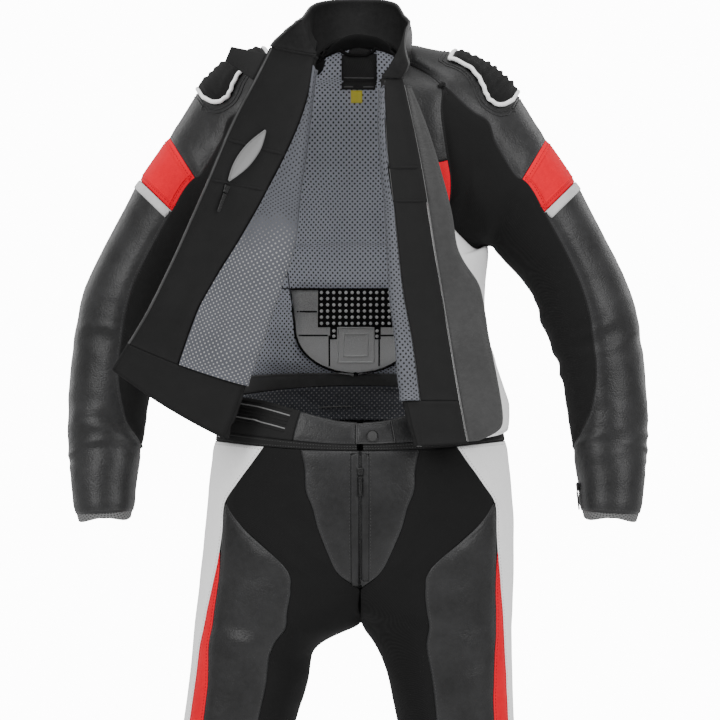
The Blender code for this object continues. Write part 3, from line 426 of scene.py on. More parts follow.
def panel(node, material, slot, wall, level=3, seam_dip=0.9, puff=0.5, held="hung", faces_front=None):
    """One cut panel of the suit, sewn up: it stands for the CAD node of the same name."""
    made, flat, area = laid_flat("cloth_" + node, outer_skin(node, wall * MM, faces_front))
    rounded(made, level)
    # a panel that is seen from inside creases the same way as the leather behind it
    draped(made, seam_dip * MM, puff * MM, -1.0 if faces_front and faces_front[1] == INWARD else 1.0)
    finished(made, material, wall * MM, SUEDE if slot.startswith("leather") else None)
    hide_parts(node)
    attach(made, SUIT)
    CUTS[node] = Cut(made, flat, area, held, [])


# One place on a panel's sewn edge: where it is, which way is out of the cloth, and which way is into it.
Spot = namedtuple("Spot", "at out inward")


def rims(node):
    """Every sewn edge of a finished panel, as loops of spots in order."""
    work = bmesh.new()
    work.from_mesh(CUTS[node].panel.data)
    work.normal_update()
    work.edges.index_update()
    left = {edge for edge in work.edges if edge.is_boundary}
    loops = []
    while left:
        # a fixed start, so that each run finds the same loops
        edge = sorted(left, key=lambda found: found.index)[len(left) // 2]
        left.remove(edge)
        walk = [edge.verts[0], edge.verts[1]]
        while True:
            onward = [e for e in walk[-1].link_edges if e in left]
            if not onward:
                break
            left.remove(onward[0])
            walk.append(onward[0].other_vert(walk[-1]))
        if walk[-1] is walk[0]:
            walk.pop()
        loop = []
        for number, vert in enumerate(walk):
            run = (walk[(number + 1) % len(walk)].co - walk[number - 1].co).normalized()
            centres = [face.calc_center_median() for face in vert.link_faces]
            middle = sum(centres, Vector()) / len(centres)
            inward = run.cross(vert.normal).normalized()
            if inward.dot(middle - vert.co) < 0.0:
                inward.negate()
            loop.append(Spot(vert.co.copy(), vert.normal.copy(), inward))
        loops.append(loop)
    work.free()
    return loops


def stretch_of(node, start, end, via):
    """The part of a panel's edge from start to end that passes via, each given in millimetres."""
    def far(point):
        return lambda pair: (pair[1].at - Vector(point) * MM).length

    loop = min(rims(node), key=lambda found: min((spot.at - Vector(via) * MM).length for spot in found))
    first = min(enumerate(loop), key=far(start))[0]
    loop = loop[first:] + loop[:first]
    last, passed = min(enumerate(loop), key=far(end))[0], min(enumerate(loop), key=far(via))[0]
    if passed > last:
        loop = [loop[0]] + loop[:0:-1]
        last = len(loop) - last
    return loop[:last + 1]


def skin_tree(*nodes):
    both = bmesh.new()
    for node in nodes:
        both.from_mesh(CUTS[node].panel.data)
    tree = BVHTree.FromBMesh(both)
    both.free()
    return tree


def trimmed(work, name, node, material):
    """Turns a bmesh into a trim that is sewn on a panel and moves with it."""
    mesh = bpy.data.meshes.new(name)
    work.to_mesh(mesh)
    work.free()
    mesh.materials.append(material)
    mesh.shade_smooth()
    made = bpy.data.objects.new(name, mesh)
    bpy.context.scene.collection.objects.link(made)
    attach(made, SUIT)
    if node:
        CUTS[node].trims.append(made)
    return made


def strip(name, node, spots, insets, lifts, wall, material, on=None, reach=3.5):
    """A flat tape laid along an edge: one column for each inset, raised by its lift over the skins below."""
    tree = skin_tree(*(on or [node]))
    work = bmesh.new()
    columns, rows = len(insets), len(spots)
    grid = bmesh.ops.create_grid(work, x_segments=columns - 1, y_segments=rows - 1, size=1.0)["verts"]
    for number, vert in enumerate(grid):
        row, column = divmod(number, columns)
        spot = spots[row]
        aim = spot.at + spot.inward * insets[column] * MM
        found, normal = tree.find_nearest(aim)[:2]
        if normal.dot(spot.out) < 0.0:
            normal = -normal
        vert.co = (found if (aim - found).length < reach * MM else aim) + normal * lifts[column] * MM
    bmesh.ops.remove_doubles(work, verts=work.verts, dist=1e-6)
    bmesh.ops.recalc_face_normals(work, faces=work.faces)
    lead = max(work.faces, key=lambda face: face.calc_area())
    if lead.normal.dot(tree.find_nearest(lead.calc_center_median())[1]) < 0.0:
        bmesh.ops.reverse_faces(work, faces=work.faces)
    made = trimmed(work, name, node, material)
    thick = made.modifiers.new("Wall", "SOLIDIFY")
    thick.thickness, thick.offset = wall * MM, -1.0


def piping(name, node, points, radius, material, closed=False):
    """A round cord or bound edge that follows the points, swept as one tube."""
    line = bpy.data.curves.new(name, "CURVE")
    line.dimensions = "3D"
    line.bevel_depth, line.bevel_resolution, line.use_fill_caps = radius * MM, 2, True
    spline = line.splines.new("POLY")
    spline.points.add(len(points) - 1)
    for point, at in zip(spline.points, points):
        point.co = (*at, 1.0)
    spline.use_cyclic_u = closed
    guide = bpy.data.objects.new(name + "_line", line)
    bpy.context.scene.collection.objects.link(guide)
    bpy.context.view_layer.update()
    swept = bpy.data.meshes.new_from_object(guide)
    bpy.data.objects.remove(guide)
    work = bmesh.new()
    work.from_mesh(swept)
    bmesh.ops.remove_doubles(work, verts=work.verts, dist=1e-7)
    trimmed(work, name, node, material)


IN_FRONT = -900.0  # where a ray towards the cloth starts, in millimetres


def laid_on(nodes, route, closed=False, step=4.0):
    """A route of x and z in millimetres, dropped from the front onto the cloth of some panels."""
    tree = skin_tree(*nodes)
    corners = [Vector((x, 0.0, z)) for x, z in route]
    places = []
    for start, end in zip(corners, corners[1:] + corners[:1] if closed else corners[1:]):
        parts = max(1, round((end - start).length / step))
        places += [start.lerp(end, part / parts) for part in range(parts)]
    if not closed:
        places.append(corners[-1])
    spots = []
    for number, place in enumerate(places):
        ahead = places[(number + 1) % len(places)] if closed or number + 1 < len(places) else place
        behind = places[number - 1] if closed or number else place
        hit, normal = tree.ray_cast(Vector((place.x, IN_FRONT, place.z)) * MM, Vector((0.0, 1.0, 0.0)))[:2]
        if hit is None:
            hit, normal = tree.find_nearest(Vector((place.x, -60.0, place.z)) * MM)[:2]
        if normal.y > 0.0:
            normal = -normal
        spots.append(Spot(hit, normal, normal.cross((ahead - behind).normalized()).normalized()))
    return spots


def line_inside(node, spots, inset, lift):
    """Points that run along an edge, some way inside it and raised a little over the panel."""
    tree = skin_tree(node)
    points = []
    for spot in spots:
        found, normal = tree.find_nearest(spot.at + spot.inward * inset * MM)[:2]
        points.append(found + (normal if normal.dot(spot.out) > 0.0 else -normal) * lift * MM)
    return points


def thread(name, dark, light, rough=0.6):
    """Spun thread, whose colour varies a little along it."""
    made = Finish(name, {"Roughness": rough, "Specular IOR Level": 0.2})
    made.feed("Base Color", made.mixed(made.cloud(made.place(), 900.0), dark, light))
    return made


THREAD = thread("thread", shade(0.03), shade(0.07))
PALE_THREAD = thread("pale_thread", shade(0.3), shade(0.5))
RED_THREAD = thread("red_thread", (0.2, 0.0, 0.002, 1), (0.35, 0.0, 0.004, 1), 0.5)


def topstitched(node, yarn, inset=3.4, pitch=4.2, spots=None, closed=True, length=1.45, name=None):
    """A row of lockstitches a few millimetres inside a panel's edge."""
    tree = skin_tree(node)
    sewn = bmesh.new()
    for loop in [spots] if spots else rims(node):
        line = []
        for spot in loop + (loop[:1] if closed else []):
            found, normal = tree.find_nearest(spot.at + spot.inward * inset * MM)[:2]
            line.append((found, normal if normal.dot(spot.out) > 0.0 else -normal))
        made, along = bmesh.new(), 0.0
        for (start, normal), (end, _) in zip(line, line[1:]):
            run = (end - start).length
            while run > 1e-7 and along < run:
                way = (end - start) / run
                aside = normal.cross(way).normalized()
                turn = Matrix((way, aside, way.cross(aside))).transposed().to_4x4()
                size = Matrix.Diagonal((length * MM, 0.42 * MM, 0.34 * MM, 1.0))
                at = Matrix.Translation(start.lerp(end, along / run) + normal * 0.12 * MM)
                bmesh.ops.create_icosphere(made, subdivisions=1, radius=1.0, matrix=at @ turn @ size)
                along += pitch * MM
            along -= run
        part = bpy.data.meshes.new("stitches")
        made.to_mesh(part)
        made.free()
        sewn.from_mesh(part)
    trimmed(sewn, "stitches_" + (name or node), node, yarn.material)


LEATHER, STRETCH_WALL, LINING = 1.8, 1.6, 1.0
for side in "LR":
    for cut in ("fly", "thigh", "shin", "leg_back"):
        panel(f"{cut}_{side}", BLACK, "leather_black", LEATHER)
    panel(f"white_side_{side}", WHITE, "leather_white", LEATHER)
    panel(f"red_stripe_{side}", RED, "leather_red", LEATHER)
    panel(f"front_stretch_{side}", STRETCH, "stretch", STRETCH_WALL)
    for sewn in ("fly", "thigh", "shin", "leg_back"):
        topstitched(f"{sewn}_{side}", THREAD)
    topstitched(f"white_side_{side}", PALE_THREAD)
    topstitched(f"red_stripe_{side}", RED_THREAD)

# Trousers seams and fly: a tape is sewn behind the centre seams, a placket stands beside each fly edge, and
# a black moulded zip runs between them. Its slider and pull are metal, plated black.

METAL = Finish("black_plating", {"Metallic": 1.0})
plate_wear = METAL.cloud(METAL.place(), 700.0, 3.0)
METAL.feed("Base Color", METAL.mixed(
    (plate_wear * 2.0 - 0.6).most(0.0).least(1.0), shade(0.02), shade(0.07)
))
METAL.feed("Roughness", 0.24 + plate_wear * 0.2)
METAL.raised(plate_wear, 0.08 * MM, 0.5)
SNAP = Finish("gunmetal", {"Metallic": 1.0})
snap_wear = SNAP.cloud(SNAP.place(), 900.0, 3.0)
SNAP.feed("Base Color", SNAP.mixed(snap_wear, shade(0.035), shade(0.09)))
SNAP.feed("Roughness", 0.38 + snap_wear * 0.15)
SNAP.raised(snap_wear, 0.06 * MM, 0.5)


def plated(node, finish):
    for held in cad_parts[node].material_slots:
        held.material = finish.material


ZIP = woven_trim("zip_tape", shade(0.006), shade(0.014), 1.0)
TEETH = Finish("moulded_teeth", {"Specular IOR Level": 0.5})
teeth_wear = TEETH.cloud(TEETH.place(), 1200.0)
TEETH.feed("Base Color", TEETH.mixed(teeth_wear, shade(0.012), shade(0.05)))
TEETH.feed("Roughness", 0.25 + teeth_wear * 0.2)


def toothed(name, node, spots, pitch=2.2, wide=2.4):
    """Two rows of moulded teeth that mesh along a zip's line."""
    made, along, count = bmesh.new(), 0.0, 0
    for start, end in zip(spots, spots[1:]):
        run = (end.at - start.at).length
        while run > 1e-7 and along < run:
            way = (end.at - start.at) / run
            aside = start.out.cross(way).normalized()
            turn = Matrix((way, aside, way.cross(aside))).transposed().to_4x4()
            side = 0.45 if count % 2 else -0.45
            lifted = start.at.lerp(end.at, along / run) + start.out * 0.4 * MM
            at = Matrix.Translation(lifted + aside * side * wide * MM)
            size = Matrix.Diagonal((0.75 * MM, 0.62 * wide * MM, 0.7 * MM, 1.0))
            bmesh.ops.create_icosphere(made, subdivisions=1, radius=1.0, matrix=at @ turn @ size)
            along, count = along + pitch / 2 * MM, count + 1
        along -= run
    trimmed(made, name, node, TEETH.material)


FLY_TOP, FLY_FOOT = (0, -100, -498), (0, -79, -670)
fly_edge = stretch_of("fly_L", FLY_TOP, FLY_FOOT, (0, -95, -590))
strip(
    "fly_tape", "fly_L", fly_edge, (-9, -4, 0, 4, 9), (-1.1,) * 5, 0.5, ZIP, on=["fly_L", "fly_R"],
)
back_edge = stretch_of("leg_back_L", (0, 114, -475), (0, -79, -672), (0, 100, -620))
strip(
    "seat_tape", "leg_back_L", back_edge, (-7, -3, 0, 3, 7), (-1.1,) * 5, 0.5, ZIP,
    on=["leg_back_L", "leg_back_R"],
)
teeth_line = [Spot(spot.at - spot.out * 0.6 * MM, spot.out, spot.inward) for spot in fly_edge[2:-4]]
toothed("fly_teeth", "fly_L", teeth_line)
for side in "LR":
    centre = stretch_of(f"fly_{side}", FLY_TOP, FLY_FOOT, (0, -95, -590))[:-5]
    strip(
        f"fly_placket_{side}", f"fly_{side}", centre, (1.2, 3, 6, 9, 11), (0.7, 1.1, 1.0, 0.9, 0.3), 0.8,
        BLACK,
    )
    topstitched(f"fly_{side}", THREAD, inset=13.0, spots=centre, closed=False, name=f"placket_{side}")
for hardware in ("slider_fly", "pull_fly"):
    plated(hardware, METAL)

# Trousers waist: a leather front with a snap tab, a wide black elastic round the sides and back, a seam
# band below it, and a mesh lining. The elastic gathers the trousers to the wearer.


def dotted_mesh(name, cloth, bright, hole, pitch, hole_size, lit=None, lit_below=0.0):
    """Air mesh: rows of round holes, each row half a hole along from the last, in a soft knitted ground. Given
    lit, the holes below lit_below turn that colour in patches: painted light showing through them.
    """
    made = Finish(name, {"Specular IOR Level": 0.15, "Sheen Weight": 0.04})
    where = made.place("UV")
    across = made.node("ShaderNodeSeparateXYZ", {}, {"Vector": where})
    upward = Reading(made, across.socket.node.outputs["Y"])

    def rows_of_holes(shift):
        u = (across / pitch + shift) % 1.0 - 0.5
        v = (upward / pitch + shift) % 1.0 - 0.5
        return (u * u + v * v) ** 0.5

    near = rows_of_holes(0.0).least(rows_of_holes(0.5))
    edge = hole_size / pitch / 2
    open_part = ((edge * 1.15 - near) * (6.0 / edge)).most(0.0).least(1.0)
    knit = made.node(
        "ShaderNodeTexWave", {"wave_type": "BANDS", "bands_direction": "DIAGONAL"},
        {"Vector": where, "Scale": 300.0, "Distortion": 1.5, "Detail": 1.0},
    )
    broad = made.cloud(made.place(), 26.0, 3.0)
    ground = made.mixed((knit * 0.35 + broad * 0.65).least(1.0), cloth, bright)
    # painted light: holes below lit_below take the lit colour in patches, as if light shone through them
    if lit:
        height = made.node("ShaderNodeSeparateXYZ", {}, {"Vector": made.place()}, 2)
        hole = made.mixed(((lit_below - height) * 18.0 + broad - 0.5).most(0.0).least(1.0), hole, lit)
    made.feed("Base Color", made.mixed(open_part, ground, hole))
    made.feed("Roughness", 0.72 + broad * 0.15)
    made.raised(knit * 0.25 - open_part * 1.4 + broad * 0.5, 0.6 * MM, 0.8)
    return made.material


BAND = woven_trim("black_band", shade(0.009), shade(0.02), 1.6)
HOLE_PITCH = 6.6 * MM
MESH = dotted_mesh(
    "grey_mesh", shade(0.09, (0.92, 0.97, 1.1)), shade(0.15, (0.94, 0.97, 1.1)), shade(0.018),
    HOLE_PITCH, 2.2 * MM,
)
# a copy of the grey mesh with its ground painted a little darker as shade, and painted light in its lower
# holes
LIT_MESH = dotted_mesh(
    "lit_mesh", shade(0.075, (0.92, 0.97, 1.12)), shade(0.12, (0.94, 0.97, 1.1)), shade(0.02),
    HOLE_PITCH, 1.9 * MM, lit=shade(0.34), lit_below=-0.2,
)
WAIST_WALL = 2.5
for side in "LR":
    panel(f"waist_front_{side}", BLACK, "leather_black", WAIST_WALL)
panel("waist_tab", BLACK, "leather_black", LEATHER, level=2)
panel("waist_elastic", BAND, "facing", WAIST_WALL, seam_dip=0.3)
panel("waist_seam_band", BAND, "facing", WAIST_WALL, seam_dip=0.2)
panel("trousers_lining", LIT_MESH, "mesh", LINING)
PALE_LINE = woven_trim("grey_cord", shade(0.16), shade(0.26), 1.0)
# edge cord leather, lighter than the black: partly wear, partly a painted highlight along the rounded edge
WORN_AND_LIT_EDGE = leather("worn_and_lit_edge", shade(0.022), shade(0.04), shade(0.07), 0.4, 0.3)
elastic_top = stretch_of("waist_elastic", (76, -77, -448), (-76, -77, -448), (0, 113, -417))[3:-3]
for number, inset in enumerate((9.0, 27.0)):
    strip(
        f"elastic_line_{number}", "waist_elastic", elastic_top, (inset, inset + 0.8, inset + 1.6), (0.35,) * 3,
        0.5, PALE_LINE,
    )
for number, inset in enumerate((4.0, 13.5, 18.0, 22.5, 32.0)):
    piping(
        f"elastic_rib_{number}", "waist_elastic", line_inside("waist_elastic", elastic_top, inset, 0.0), 0.8,
        BAND,
    )
for side in "LR":
    topstitched(f"waist_front_{side}", THREAD, inset=3.0, pitch=3.8)
topstitched("waist_seam_band", THREAD, inset=2.2, pitch=3.6)
topstitched("waist_tab", THREAD, inset=3.0, pitch=3.6)
tab_rim = [spot.at - spot.out * 0.5 * MM for spot in rims("waist_tab")[0]]
# the tab's edge cord is lighter: wear and a painted highlight
piping("tab_edge", "waist_tab", tab_rim, 0.9, WORN_AND_LIT_EDGE, True)
plated("snap_button", SNAP)

# Jacket body: a leather back, and open fronts of white leather with a black chest and a red band. The
# fronts turn out along the zip, so their black facings and the mesh lining show.

FACING = woven_trim("black_facing", shade(0.009), shade(0.019), 1.2)
# the black band painted several times lighter: painted light on the back waist band inside the jacket
LIGHTENED_BACK_BAND = woven_trim("back_band", shade(0.08), shade(0.13), 1.6)
FACING_X = {"L": 0.09, "R": -0.2}
SLATE = leather("slate_leather", shade(0.03), shade(0.042), shade(0.06), 0.4, 0.25)
# a copy of the grey mesh painted far lighter: painted light on the back lining inside the jacket
LIGHTENED_BACK_MESH = dotted_mesh(
    "lightened_back_mesh", shade(0.5, (0.93, 0.96, 1.1)), shade(0.72, (0.94, 0.97, 1.08)), shade(0.03),
    HOLE_PITCH, 2.2 * MM,
)
SILVER = leather("silver_leather", shade(0.42), shade(0.52), shade(0.6), 0.35, 0.5)
panel("back", BLACK, "leather_black", LEATHER)
panel("lining_back", LIGHTENED_BACK_MESH, "mesh", LINING, faces_front=((0.0, 0.1, -0.2), INWARD))
panel("waist_band_back", LIGHTENED_BACK_BAND, "facing", 2.0, level=2, faces_front=((0.0, 0.112, -0.42), INWARD))
for side, sign in (("L", 1), ("R", -1)):
    facing_out = ((sign * 0.15, -0.05, -0.2), (sign * 1.0, -0.6, 0.0))
    panel(f"chest_{side}", BLACK, "leather_black", LEATHER, faces_front=facing_out)
    panel(f"chest_band_{side}", RED, "leather_red", LEATHER, faces_front=facing_out)
    panel(f"front_{side}", WHITE, "leather_white", LEATHER, faces_front=facing_out)
    turned = ((FACING_X[side], -0.14, -0.25), (0.0, 1.0, 0.0))
    panel(f"facing_{side}", FACING, "facing", LINING, held="folded", faces_front=turned)
    panel(f"hem_facing_{side}", FACING, "facing", LINING, held="folded", faces_front=turned)
    # the right lining takes the copy with painted shade in its ground and painted light in its lower holes
    panel(f"lining_{side}", LIT_MESH if side == "R" else MESH, "mesh", LINING, faces_front=facing_out)
    topstitched(f"chest_{side}", THREAD)
    topstitched(f"front_{side}", PALE_THREAD)
    topstitched(f"facing_{side}", THREAD, inset=4.0)
    topstitched(f"hem_facing_{side}", THREAD, inset=4.0)
panel("storm_flap", SLATE, "leather_black", LEATHER)
topstitched("storm_flap", THREAD, inset=3.0)
topstitched("back", THREAD)
red_foot = {
    "L": ("front_L", (83, -124, -186), (112, -79, -185), (95, -105, -186)),
    "R": ("front_R", (-189, -169, -161), (-114, -79, -184), (-150, -125, -172)),
}
for side, (node, start, end, via) in red_foot.items():
    strip(
        f"silver_edge_{side}", node, stretch_of(node, start, end, via), (0.3, 1.8, 3.4), (0.5, 0.6, 0.5), 0.7,
        SILVER,
    )


def corded(name, nodes, sunk, radius):
    """A dark cord behind every sewn edge of some panels, which closes the seam between them."""
    for node in nodes:
        for number, edge in enumerate(rims(node)):
            line = [spot.at - spot.out * sunk * MM for spot in edge]
            piping(f"{name}_{node}_{number}", node, line, radius, FACING, True)


corded("seam_cord", ["chest_L", "chest_R", "chest_band_L", "chest_band_R"], 1.5, 1.9)

# A bound edge: the panel, the part of its rim from start to end via a place, and the cord that binds it.
Bound = namedtuple("Bound", "name node start end via radius material slot")
BOUND_EDGES = [
    Bound(
        "facing_edge", "facing_L", (32, -101, -33), (76, -123, -435), (54, -112, -234),
        0.75, PALE_LINE, "facing",
    ),
    Bound(
        "flap_edge", "storm_flap", (55, -108, -40), (134, -134, -486), (94, -125, -260),
        0.9, PALE_LINE, "leather_black",
    ),
    # the wing's edge cord is lighter: wear and a painted highlight
    Bound(
        "wing_edge", "facing_R", (-111, -139, 4), (-287, -172, -364), (-200, -160, -180),
        1.5, WORN_AND_LIT_EDGE, "facing",
    ),
    Bound(
        "wing_hem", "hem_facing_R", (-306, -171, -396), (-171, -96, -481), (-240, -135, -440),
        1.5, FACING, "facing",
    ),
    Bound(
        "wing_corner", "hem_facing_R", (-286, -173, -365), (-306, -171, -396), (-296, -172, -381),
        1.5, FACING, "facing",
    ),
    Bound(
        "back_band_edge", "waist_band_back", (-181, 40, -400), (181, 40, -400), (0, 112, -404),
        0.8, PALE_LINE, "facing",
    ),
]
for bound in BOUND_EDGES:
    edge = stretch_of(bound.node, bound.start, bound.end, bound.via)
    piping(bound.name, bound.node, [spot.at for spot in edge], bound.radius, bound.material)

MESH_SEAMS = [
    [(-150, -291), (-92, -291)],
    [(-98, -243), (-92, -290), (-84, -340), (-66, -372)],
    [(-120, -243), (-98, -243)],
    [(-104, -100), (-110, -190), (-128, -243)],
    [(40, -386), (60, -372), (78, -340)],
]
for number, route in enumerate(MESH_SEAMS):
    spots = laid_on(["lining_back"], route)
    line = [spot.at + spot.out * 0.2 * MM for spot in spots]
    piping(f"mesh_seam_{number}", "lining_back", line, 0.8, MESH)

# Back protector: a grey foam plate in a pocket of the lining, rounded at its foot. Grooves part it into
# pads, a black field of pale studs crosses it, and a plain raised frame stands below the studs.

FOAM = Finish("protector_foam", {"Specular IOR Level": 0.25})
speck = FOAM.cloud(FOAM.place(), 900.0, 3.0)
height = FOAM.node("ShaderNodeSeparateXYZ", {}, {"Vector": FOAM.place()}, 2)
grainy = FOAM.mixed((speck * 2.2 - 0.6).most(0.0).least(1.0), shade(0.2), shade(0.44))
# painted light: the foam turns near white towards the plate's foot, lighter the lower it is
FOAM.feed("Base Color", FOAM.mixed(((-0.32 - height) * 10.0).most(0.0).least(0.75), grainy, shade(0.85)))
FOAM.feed("Roughness", 0.62 + speck * 0.2)
FOAM.raised(speck, 0.3 * MM, 0.7)
STUD = Finish("pale_stud", {"Specular IOR Level": 0.5})
stud_tone = STUD.cloud(STUD.place(), 60.0)
STUD.feed("Base Color", STUD.mixed(stud_tone, shade(0.45), shade(0.85)))
STUD.feed("Roughness", 0.3 + stud_tone * 0.2)
PLATE_TOP, PLATE_CURVES, PLATE_FOOT = -291.0, -338.0, -402.0
PLATE_HALF, PLATE_NARROWS, PLATE_MIDDLE = 84.0, 6.0, -6.0
shell = bmesh.new()
shell.from_mesh(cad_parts["back_protector"].data)
behind = BVHTree.FromBMesh(shell)
shell.free()


def plate_half(z):
    """Half the plate's width at a height: straight sides, then a wide round foot."""
    down = max(0.0, (PLATE_CURVES - z) / (PLATE_CURVES - PLATE_FOOT))
    narrowed = PLATE_NARROWS if down else PLATE_NARROWS * (PLATE_TOP - z) / (PLATE_TOP - PLATE_CURVES)
    return (PLATE_HALF - narrowed) * math.sqrt(max(0.0, 1.0 - down ** 2.2)) + 2.0


plate = bmesh.new()
ACROSS, DOWNWARD = 36, 30
cells = bmesh.ops.create_grid(plate, x_segments=ACROSS, y_segments=DOWNWARD, size=1.0)["verts"]
for vert in cells:
    share = vert.co.x
    z = PLATE_FOOT + (PLATE_TOP - PLATE_FOOT) * (1.0 - ((1.0 - vert.co.y) / 2.0) ** 0.75)
    x = PLATE_MIDDLE + plate_half(z) * share
    hit = behind.ray_cast(Vector((x, IN_FRONT, z)) * MM, Vector((0.0, 1.0, 0.0)))[0]
    if hit is None:
        hit = behind.find_nearest(Vector((x, 85.0, z)) * MM)[0]
    crown = 1.6 * math.exp(-(((1.0 - abs(share)) * plate_half(z) / 9.0) ** 2))
    vert.co = Vector((x * MM, hit.y + crown * MM, z * MM))
bmesh.ops.smooth_vert(plate, verts=plate.verts, factor=0.5, use_axis_y=True)
bmesh.ops.recalc_face_normals(plate, faces=plate.faces)
if sum(face.normal.y for face in plate.faces) > 0.0:
    bmesh.ops.reverse_faces(plate, faces=plate.faces)
protector = trimmed(plate, "protector_plate", None, FOAM.material)
thick = protector.modifiers.new("Wall", "SOLIDIFY")
thick.thickness, thick.offset = 5.0 * MM, -1.0
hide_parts("back_protector")
CUTS["back_protector"] = Cut(protector, None, None, None, [])


def drawn(name, route, radius, material, lift, closed=False):
    """A groove or a raised line on the protector, along a route of x and z."""
    line = [spot.at + spot.out * lift * MM for spot in laid_on(["back_protector"], route, closed)]
    piping(name, "back_protector", line, radius, material, closed)


plate_rim = [spot.at + spot.inward * 0.8 * MM for spot in rims("back_protector")[0]]
piping("plate_edge", "back_protector", plate_rim, 1.5, ZIP, True)
GROOVES = [
    [(-82, -321), (-56, -321)], [(-80, -352), (-42, -352)], [(-40, -352), (-40, -392)],
    [(25, -352), (25, -392)], [(27, -352), (66, -352)], [(42, -321), (70, -321)],
]
for number, route in enumerate(GROOVES):
    drawn(f"plate_groove_{number}", route, 1.3, ZIP, -0.6)
for number, inset in enumerate((0.0, 8.0)):
    left, right, top, foot = -29 + inset, 18 - inset, -342 - inset, -387 + inset
    corners = [(left, top), (right, top), (right, foot), (left, foot)]
    drawn(f"plate_frame_{number}", corners, 1.2, FOAM.material, 0.3, True)
STUD_PITCH, STUD_LEFT, STUD_TOP = 8.03, -50.4, -296.1
STUD_FIELDS = [(-56.0, 44.0, -291.5, -341.0), (-39.0, -29.5, -341.0, -357.0), (17.5, 27.0, -341.0, -357.0)]
for x0, x1, z0, z1 in STUD_FIELDS:
    spots = laid_on(["back_protector"], [((x0 + x1) / 2, z0), ((x0 + x1) / 2, z1)])
    half = (x1 - x0) / 2
    insets = [half * part / 4 for part in range(-4, 5)]
    strip(
        f"stud_field_{round(x0)}", "back_protector", spots, insets, (0.5,) * 9, 0.5, ZIP, reach=20.0,
    )
studs = bmesh.new()
places = [
    (STUD_LEFT + column * STUD_PITCH, STUD_TOP - row * STUD_PITCH)
    for row in range(6) for column in range(12)
]
places += [(-34.2, -346.0), (-34.2, -353.0), (22.3, -346.0), (22.3, -353.0)]
for spot in laid_on(["back_protector"], places, step=1000.0):
    turn = spot.out.to_track_quat("Z", "Y").to_matrix().to_4x4()
    at = Matrix.Translation(spot.at + spot.out * 0.7 * MM) @ turn @ Matrix.Diagonal((1.0, 1.0, 0.45, 1.0))
    bmesh.ops.create_icosphere(studs, subdivisions=2, radius=2.3 * MM, matrix=at)
trimmed(studs, "studs", "back_protector", STUD.material)

# Sleeves: a leather cap at the shoulder with a ribbed flex panel, a red band, black leather down the
# outside, and stretch cloth down the inside. Each cuff has a grey lining that shows below it.

CUFF_MESH = dotted_mesh("cuff_mesh", shade(0.12), shade(0.18), shade(0.04), 4.0 * MM, 1.4 * MM)
for side in "LR":
    panel(f"shoulder_{side}", BLACK, "leather_black", LEATHER)
    panel(f"shoulder_flex_{side}", STRETCH, "stretch", 3.0, level=4, puff=1.5)
    panel(f"sleeve_band_{side}", RED, "leather_red", LEATHER)
    panel(f"sleeve_leather_{side}", BLACK, "leather_black", LEATHER)
    panel(f"sleeve_stretch_{side}", STRETCH, "stretch", STRETCH_WALL)
    panel(f"cuff_lining_{side}", CUFF_MESH, "mesh", LINING)
    for sewn in ("shoulder", "sleeve_leather"):
        topstitched(f"{sewn}_{side}", THREAD)


def pleated(node, across, pitch, depth):
    """Sews a panel into ribs that run across a direction, and leaves its edges flat."""
    mesh, way = CUTS[node].panel.data, Vector(across).normalized()
    moves = []
    for vert, held in zip(mesh.vertices, mesh.attributes["seam"].data):
        rib = math.sin(math.pi * vert.co.dot(way) / (pitch * MM)) ** 2
        moves.append(vert.co + vert.normal * (rib - 0.6) * depth * MM * (1.0 - held.value))
    for vert, place in zip(mesh.vertices, moves):
        vert.co = place


for side, sign in (("L", 1), ("R", -1)):
    flex, cap = f"shoulder_flex_{side}", f"shoulder_{side}"
    pleated(flex, (sign * 0.82, 0.0, -0.57), 9.5, 1.7)
    flex_edge = rims(flex)[0]
    piping(
        f"flex_trim_{side}", flex, [spot.at + spot.out * 0.4 * MM for spot in flex_edge], 2.8, WHITE,
        True,
    )
    for number, inset in enumerate((-9.0, -14.0)):
        piping(
            f"flex_contour_{side}_{number}", cap, line_inside(cap, flex_edge, inset, 0.0), 1.0, BLACK,
            True,
        )
    band, sleeve = f"sleeve_band_{side}", f"sleeve_leather_{side}"
    for number, edge in enumerate(rims(band)):
        ridge = line_inside(band, edge, 8.0, -0.3)
        piping(f"band_ridge_{side}_{number}", band, ridge, 1.2, RED, True)
    topstitched(band, RED_THREAD, inset=5.0)
    top = stretch_of(sleeve, (sign * 230, 71, -200), (sign * 233, -66, -198), (sign * 270, 0, -152))
    strip(
        f"silver_stripe_{side}", sleeve, top, (0.2, 3, 6, 9, 11.5), (0.5, 0.7, 0.7, 0.7, 0.5), 0.8,
        SILVER,
    )
corded("armhole_cord", ["back", "sleeve_stretch_L", "sleeve_stretch_R"], 2.2, 2.6)
for hardware in ("slider_cuff", "pull_cuff"):
    plated(hardware, METAL)

# Collar: a padded leather stand band, its stretch strap end, and the label and pocket inside.

SATIN = stretch_cloth("grey_satin", shade(0.2), shade(0.28))
LABEL = stretch_cloth("label_cloth", shade(0.035), shade(0.06))
YELLOW = stretch_cloth("yellow_tag", (0.96, 0.8, 0.1, 1.0), (1.0, 0.9, 0.14, 1.0))
panel("collar", BLACK, "leather_black", 3.0)
panel("collar_tab", FACING, "facing", LEATHER, level=2)
panel("neck_label", LABEL, "facing", LINING, level=2, faces_front=((0.0, 0.08, 0.0), INWARD))
panel("pocket_bag", SATIN, "mesh", LINING, level=2)
topstitched("collar", THREAD, inset=4.5)
